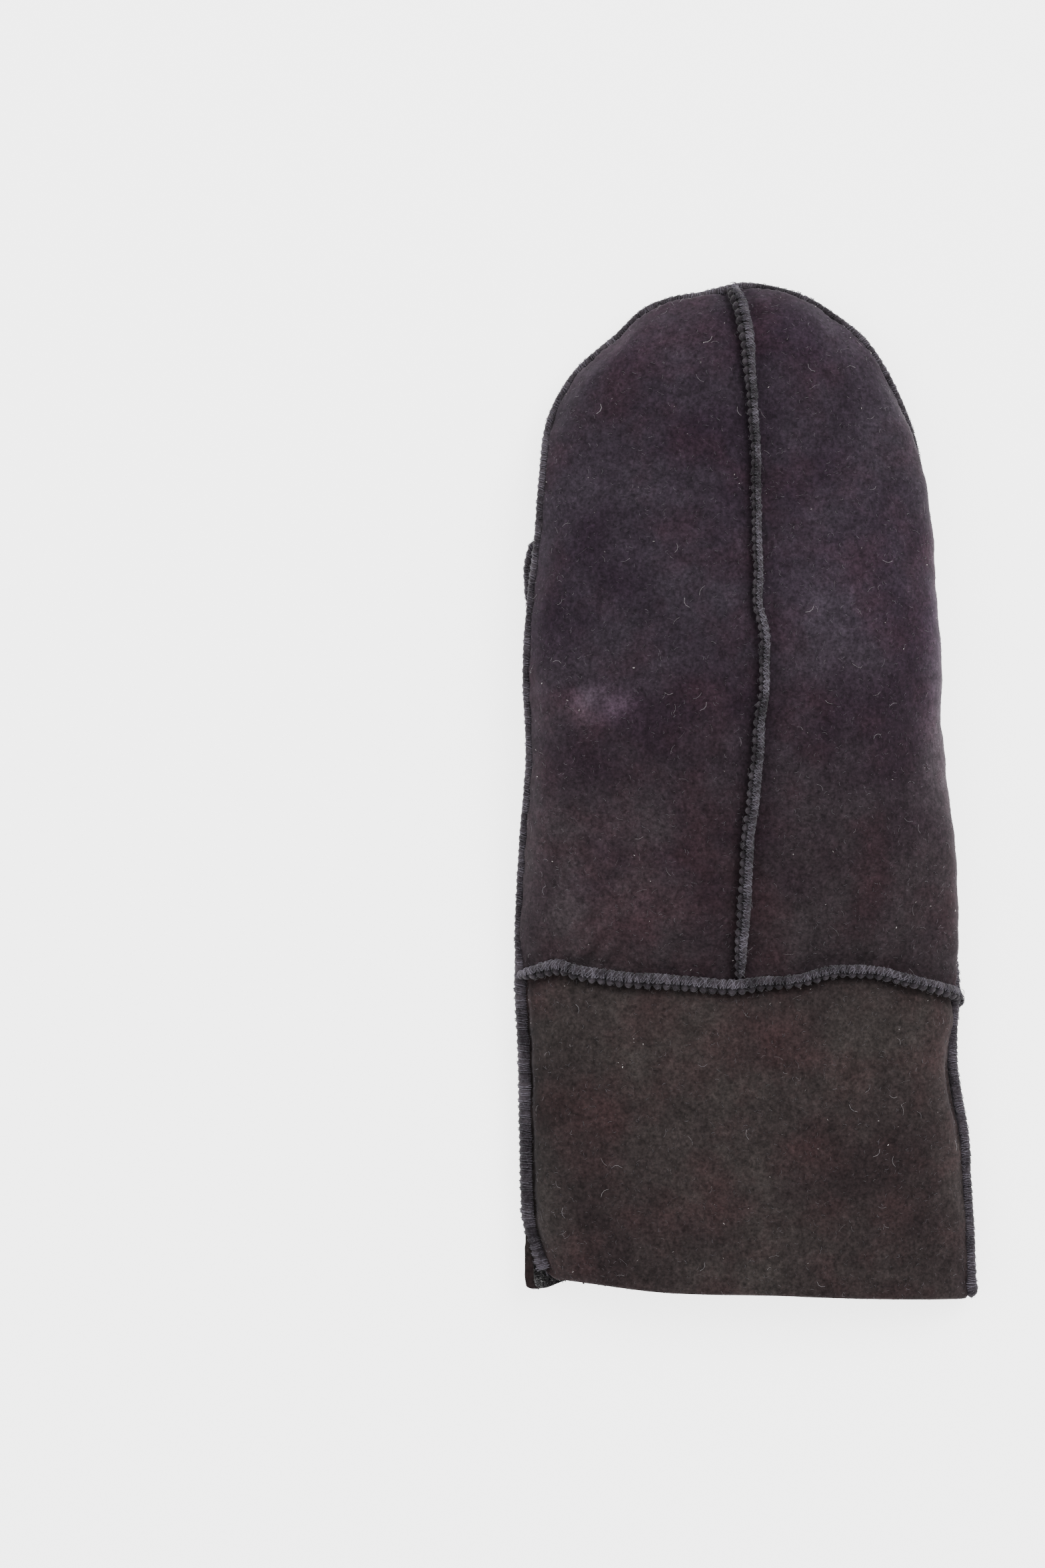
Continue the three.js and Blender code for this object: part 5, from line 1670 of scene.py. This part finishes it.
@dataclass
class OvercastSeam:
    """A ridge with its thread and the fuzz that stands off it."""

    path: SeamPath
    pitch: float = 2.7
    scallop: float = 0.3
    wobble: float = 0.16
    thread_radius: float = 0.095
    slant: float = 0.5
    groove: float = 0.3
    lip_degrees: float = 0.0
    winding: Winding = Winding.WOUND
    seed: int = 1
    fuzz_per_mm: float = 2.2

    def line(self, name: str) -> bpy.types.Object:
        """The ridge's middle line as an object with the attributes that the trees read."""
        core = in_frame(self.path.core())
        count = len(core)
        mesh = bpy.data.meshes.new(name)
        edges = [(number, number + 1) for number in range(count - 1)]
        mesh.from_pydata(core.tolist(), edges, [])
        for label, values in (("out", self.path.out), ("side", self.path.side)):
            made = mesh.attributes.new(label, "FLOAT_VECTOR", "POINT")
            made.data.foreach_set("vector", values.astype(np.float32).ravel())
        for label, values in (("girth", self.path.girth), ("run", self.path.run * MM)):
            made = mesh.attributes.new(label, "FLOAT", "POINT")
            made.data.foreach_set("value", values.astype(np.float32))
        item = bpy.data.objects.new(name, mesh)
        bpy.context.scene.collection.objects.link(item)
        return item

    def build(self, tools: dict[str, NodesTool], finishes: dict[str, bpy.types.Material]) -> list[bpy.types.Object]:
        """Make the ridge, its stitches and its fuzz.

        Args:
            tools: The trees for the ridge, the stitches and loose fibres.
            finishes: The finishes of the edges, the thread and the fuzz.

        Returns:
            The three pieces.
        """
        path = self.path
        pitch = path.length / round(path.length / self.pitch)
        sizes = {"Width": path.width * MM, "Height": path.height * MM, "Pitch": pitch * MM, "Seed": self.seed}
        sizes["Lip"] = math.radians(self.lip_degrees)
        ridge = tools["ridge"].run(self.line(path.name), finishes["edge"], Scallop=self.scallop, Groove=self.groove,
                                   Wobble=self.wobble, Ring_step=0.42 * MM, **sizes)
        fuzz = bpy.data.objects.new(f"{path.name}_fuzz", ridge.data)
        bpy.context.scene.collection.objects.link(fuzz)
        girth = 0.75 * math.pi * (path.width + path.height) / 2
        tools["fibres"].run(fuzz, finishes["fuzz"], Density=self.fuzz_per_mm / girth * 1e6, Length=1.2 * MM,
                            Radius=0.03 * MM, Curl=0.5, Lift=0.0, Rise=0.35, Seed=self.seed)
        sizes.update(Width=path.width * 0.985 * MM, Height=path.height * 0.985 * MM, Pitch=pitch * 0.9999 * MM)
        stitches = tools[self.winding.name].run(
            self.line(f"{path.name}_stitches"), finishes["thread"], Thread_radius=self.thread_radius * MM,
            Slant=self.slant, Sink=0.42 if self.winding is Winding.LAPPED else 0.0, Jitter=0.09 if self.winding is Winding.LAPPED else 0.13, **sizes)
        return [ridge, stitches, fuzz]


@dataclass
class Studio:
    """A pale floor, soft light and the camera."""

    height: float = 1.6
    aim_x: float = -0.0663
    aim_y: float = 0.0012
    frame_width: float = 0.4704
    middle_height: float = 0.012
    sensor: float = 36
    floor_size: float = 6.0
    key_energy: float = 26.0
    fill_energy: float = 12.0
    world_strength: float = 0.75
    table_glow: float = 3.0

    def floor(self) -> bpy.types.Object:
        """A matt white light table, which keeps the shadows as faint as under a photographer's tent."""
        half = self.floor_size / 2
        points = np.array([[-half, -half, 0], [half, -half, 0], [half, half, 0], [-half, half, 0]], float)
        material = bpy.data.materials.new("white_light_table")
        material.use_nodes = True
        tree = material.node_tree
        shader = tree.nodes["Principled BSDF"]
        place = out_of(add_node(tree, "ShaderNodeTexCoord"), "Object")
        tooth = out_of(add_node(tree, "ShaderNodeTexNoise", None, {
            "Vector": place, "Scale": 1 / (1.5 * MM), "Detail": 3.0}))
        bump = add_node(tree, "ShaderNodeBump", None, {"Strength": 0.1, "Distance": 0.05 * MM, "Height": tooth})
        tree.links.new(out_of(bump), shader.inputs["Normal"])
        shader.inputs["Base Color"].default_value = linear("#fbfbfb")
        shader.inputs["Emission Color"].default_value = linear("#ffffff")
        shader.inputs["Emission Strength"].default_value = self.table_glow
        shader.inputs["Roughness"].default_value = 0.9
        shader.inputs["Specular IOR Level"].default_value = 0.2
        return make_object("studio_floor", points, np.array([[0, 1, 2, 3]]), (material,))

    def lights(self) -> None:
        """Two large soft lights and an even surround."""
        world = bpy.data.worlds.new("studio")
        world.use_nodes = True
        sky = world.node_tree.nodes["Background"]
        sky.inputs["Color"].default_value = linear("#ffffff")
        sky.inputs["Strength"].default_value = self.world_strength
        bpy.context.scene.world = world
        for name, energy, size, place in (
            ("key_light", self.key_energy, 1.1, (0.55, 0.75, 1.35)),
            ("fill_light", self.fill_energy, 1.4, (-0.9, -0.1, 1.3)),
        ):
            lamp = bpy.data.lights.new(name, "AREA")
            lamp.energy = energy
            lamp.size = size
            lamp.color = (1.0, 1.0, 1.0)
            item = bpy.data.objects.new(name, lamp)
            item.location = place
            item.rotation_euler = (-Vector(place)).to_track_quat("-Z", "Y").to_euler()
            bpy.context.scene.collection.objects.link(item)

    def camera(self) -> None:
        """Straight above, with the fingertips up."""
        view = bpy.data.cameras.new("camera")
        view.type = "PERSP"
        view.sensor_width = self.sensor
        view.lens = self.sensor * (self.height - self.middle_height) / self.frame_width
        view.clip_start = 0.05
        view.clip_end = 20
        view.dof.use_dof = False
        item = bpy.data.objects.new("camera", view)
        item.location = (self.aim_x, self.aim_y, self.height)
        bpy.context.scene.collection.objects.link(item)
        bpy.context.scene.camera = item


@dataclass
class Mitten:
    """The whole mitten: its walls, ridges, stitches and loose fibres."""

    skin: Skin = field(default_factory=Skin)
    courses: SeamCourses = field(default_factory=SeamCourses)

    def finishes(self) -> dict[str, bpy.types.Material]:
        """Make every finish once."""
        return {
            Slot.HAND.value: SuedeFinish("hand_sheepskin_suede", "#221922", "#2c262d", "#2c1e26", browned=1.0).build(),
            Slot.CUFF.value: SuedeFinish("cuff_sheepskin_suede", "#261f20", "#312c2b", "#332526", seed=1.7).build(),
            Slot.THUMB.value: SuedeFinish("thumb_sheepskin_suede", "#231b22", "#2c282d", "#2d2124", seed=3.1).build(),
            "edge": ThreadFinish("raw_suede_edge", "#1b171b", "#3a353a", strand_mm=0.7, rough=0.9, shine=0.12,
                                 sheen=0.1, relief_mm=0.4, shaded=True).build(),
            "thread": ThreadFinish("waxed_thread", "#17141a", "#635d68").build(),
            "fuzz": FibreFinish("thread_fuzz", "#36333a", "#67626a").build(),
            "nap": FibreFinish("raised_nap", "#39333a", "#5d575e").build(),
            "strand": FibreFinish("stray_fibre", "#6d676d", "#a09a9c").build(),
            "lint": FibreFinish("pale_lint", "#a39a98", "#d9d2cf").build(),
            "wool": WoolFinish("clipped_wool", "#121012", "#2b2629").build(),
        }

    def paths(self) -> dict[str, SeamPath]:
        """Every ridge's course by its node's name."""
        made = (self.courses.centre(), self.courses.wrist(Face.BACK), self.courses.wrist(Face.PALM),
                self.courses.edge(), self.courses.thumb_edge(), self.courses.thumb_base())
        return {path.name: path for path in made}

    def panels(self) -> list[Panel]:
        """The five walls of hand and cuff."""
        half_gap = FORM.gap / (2 * FORM.hand_width / 2 * QUARTER)

        def left(up: Array) -> Array:
            """The left edge."""
            return -np.ones_like(up)

        def left_again(up: Array) -> Array:
            """The left edge, come to round the palm."""
            return 3 * np.ones_like(up)

        def tuck_hand(up: Array) -> Array:
            """The right edge of the hand."""
            return FORM.tuck("hand", up)

        def tuck_cuff(up: Array) -> Array:
            """The right edge of the cuff."""
            return FORM.tuck("cuff", up)

        return [
            Panel("back_panel_thumb_side", "hand", Face.BACK, Slot.HAND, left,
                  lambda up: FORM.centre_turn(up) - half_gap, 82, 190, 10),
            Panel("back_panel_outer", "hand", Face.BACK, Slot.HAND,
                  lambda up: FORM.centre_turn(up) + half_gap, tuck_hand, 82, 190, 20),
            PalmPanel("palm_panel", "hand", Face.PALM, Slot.HAND, tuck_hand, left_again, 112, 132, 30, 0.4),
            Panel("cuff_back", "cuff", Face.BACK, Slot.CUFF, left, tuck_cuff, 130, 84, 50),
            Panel("cuff_palm", "cuff", Face.PALM, Slot.CUFF, tuck_cuff, left_again, 110, 64, 60, 0.4),
        ]

    def place(self, item: bpy.types.Object, slot: Slot, node: str | None = None) -> None:
        """Join a piece to the frame and report it."""
        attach(item, "root")
        if node:
            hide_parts(node)
        LOG.info("%s: %d faces", item.name, len(item.data.polygons))

    def lint(self, tool: NodesTool, finishes: dict[str, bpy.types.Material], pieces: list[bpy.types.Object]) -> None:
        """Raise the nap of the walls of the back, and scatter stray fibres and specks over them."""
        # Name, finish, fibres a square metre, length, radius, curl, lift and rise in millimetres
        coats = (
            ("nap", "nap", 190000.0, 1.0, 0.035, 0.35, 0.0, 0.16),
            ("fibres", "strand", 6400.0, 2.7, 0.038, 0.45, 0.03, 0.03),
            ("specks", "lint", 3000.0, 0.45, 0.1, 0.3, 0.05, 0.05),
        )
        for number, source in enumerate((pieces[0], pieces[1], pieces[3])):
            surface = self.sheet_of(source, 0, (-1.0, 1.0))
            for salt, (coat, finish, density, length, radius, curl, lift, rise) in enumerate(coats):
                item = bpy.data.objects.new(f"{source.name}_{coat}", surface)
                bpy.context.scene.collection.objects.link(item)
                tool.run(item, finishes[finish], Density=density, Length=length * MM, Radius=radius * MM,
                         Curl=curl, Lift=lift * MM, Rise=rise, Seed=100 + 10 * salt + number)
                self.place(item, Slot.CUFF if number == 2 else Slot.HAND)

    def pile(self, tool: NodesTool, wool: bpy.types.Material, pieces: list[bpy.types.Object]) -> None:
        """Stand the clipped wool up inside the mouth of the cuff, where it shows."""
        for number, source in enumerate(pieces):
            item = bpy.data.objects.new(f"{source.name}_pile", self.sheet_of(source, 1, (-0.1492, -0.124)))
            bpy.context.scene.collection.objects.link(item)
            tool.run(item, wool, Density=700000.0, Length=3.0 * MM, Radius=0.26 * MM, Curl=0.5, Lift=-0.2 * MM,
                     Rise=0.75, Seed=700 + number)
            self.place(item, Slot.CUFF)

    @staticmethod
    def sheet_of(source: bpy.types.Object, face: int, span: tuple[float, float]) -> bpy.types.Mesh:
        """A copy of a wall's outer face, 0, or inner face, 1, between two heights up the mitten."""
        mesh = source.data
        points = np.empty(len(mesh.vertices) * 3, np.float32)
        mesh.vertices.foreach_get("co", points)
        indices = np.empty(len(mesh.polygons), np.int32)
        mesh.polygons.foreach_get("material_index", indices)
        quads = np.empty(len(mesh.loops), np.int32)
        mesh.loops.foreach_get("vertex_index", quads)
        quads = quads.reshape(-1, 4)
        height = points.reshape(-1, 3)[quads, 1].mean(axis=1)
        quads = quads[(indices == face) & (height > span[0]) & (height < span[1])]
        copy = bpy.data.meshes.new(f"{source.name}_sheet")
        copy.from_pydata(points.reshape(-1, 3).tolist(), [], quads.tolist())
        return copy

    def build(self) -> None:
        """Make every piece in order."""
        finishes = self.finishes()
        paths = self.paths()
        self.skin.seams = tuple(SeamMap(paths[name]) for name in (
            "back_centre_seam", "wrist_seam_back", "wrist_seam_palm", "edge_seam"))
        walls = []
        for panel in self.panels():
            item = panel.build(self.skin, finishes[panel.slot.value], finishes["wool"])
            self.place(item, panel.slot, panel.name)
            walls.append(item)
        self.skin.seams = SeamMap(paths["thumb_edge_seam"]), SeamMap(paths["thumb_base_seam"])
        thumb = Thumb().build(self.skin, finishes[Slot.THUMB.value], finishes["wool"])
        self.place(thumb, Slot.THUMB, "thumb")
        tools = {"ridge": ridge_tool(), "fibres": fibre_tool()}
        tools.update({winding.name: stitch_tool(winding) for winding in Winding})
        lapped = Winding.LAPPED
        looks = {
            "back_centre_seam": {"pitch": 2.6, "scallop": 0.55, "groove": 0.75, "lip_degrees": 80.0, "winding": lapped,
                                 "wobble": 0.22},
            "wrist_seam_back": {"pitch": 2.8, "scallop": 0.6, "groove": 0.55, "lip_degrees": 84.0, "winding": lapped,
                                "wobble": 0.24},
            "wrist_seam_palm": {"pitch": 3.0, "scallop": 0.4, "lip_degrees": 84.0, "winding": lapped},
            "edge_seam": {"pitch": 2.2, "scallop": 0.13, "lip_degrees": 180.0, "wobble": 0.17},
            "thumb_edge_seam": {"pitch": 2.2, "scallop": 0.2, "lip_degrees": 180.0},
            "thumb_base_seam": {"pitch": 2.4, "scallop": 0.2, "lip_degrees": 180.0},
        }
        for number, (name, look) in enumerate(looks.items()):
            ridge, stitches, fuzz = OvercastSeam(paths[name], seed=300 + 10 * number, **look).build(tools, finishes)
            self.place(ridge, Slot.THREAD, name)
            self.place(stitches, Slot.THREAD)
            self.place(fuzz, Slot.THREAD)
        self.lint(tools["fibres"], finishes, walls)
        self.pile(tools["fibres"], finishes["wool"], walls[3:])


def main() -> None:
    """Build the studio and the mitten."""
    logging.basicConfig(level=logging.INFO, format="%(name)s %(message)s")
    studio = Studio()
    studio.camera()
    studio.lights()
    studio.floor()
    Mitten().build()


if __name__ == "__main__":
    main()
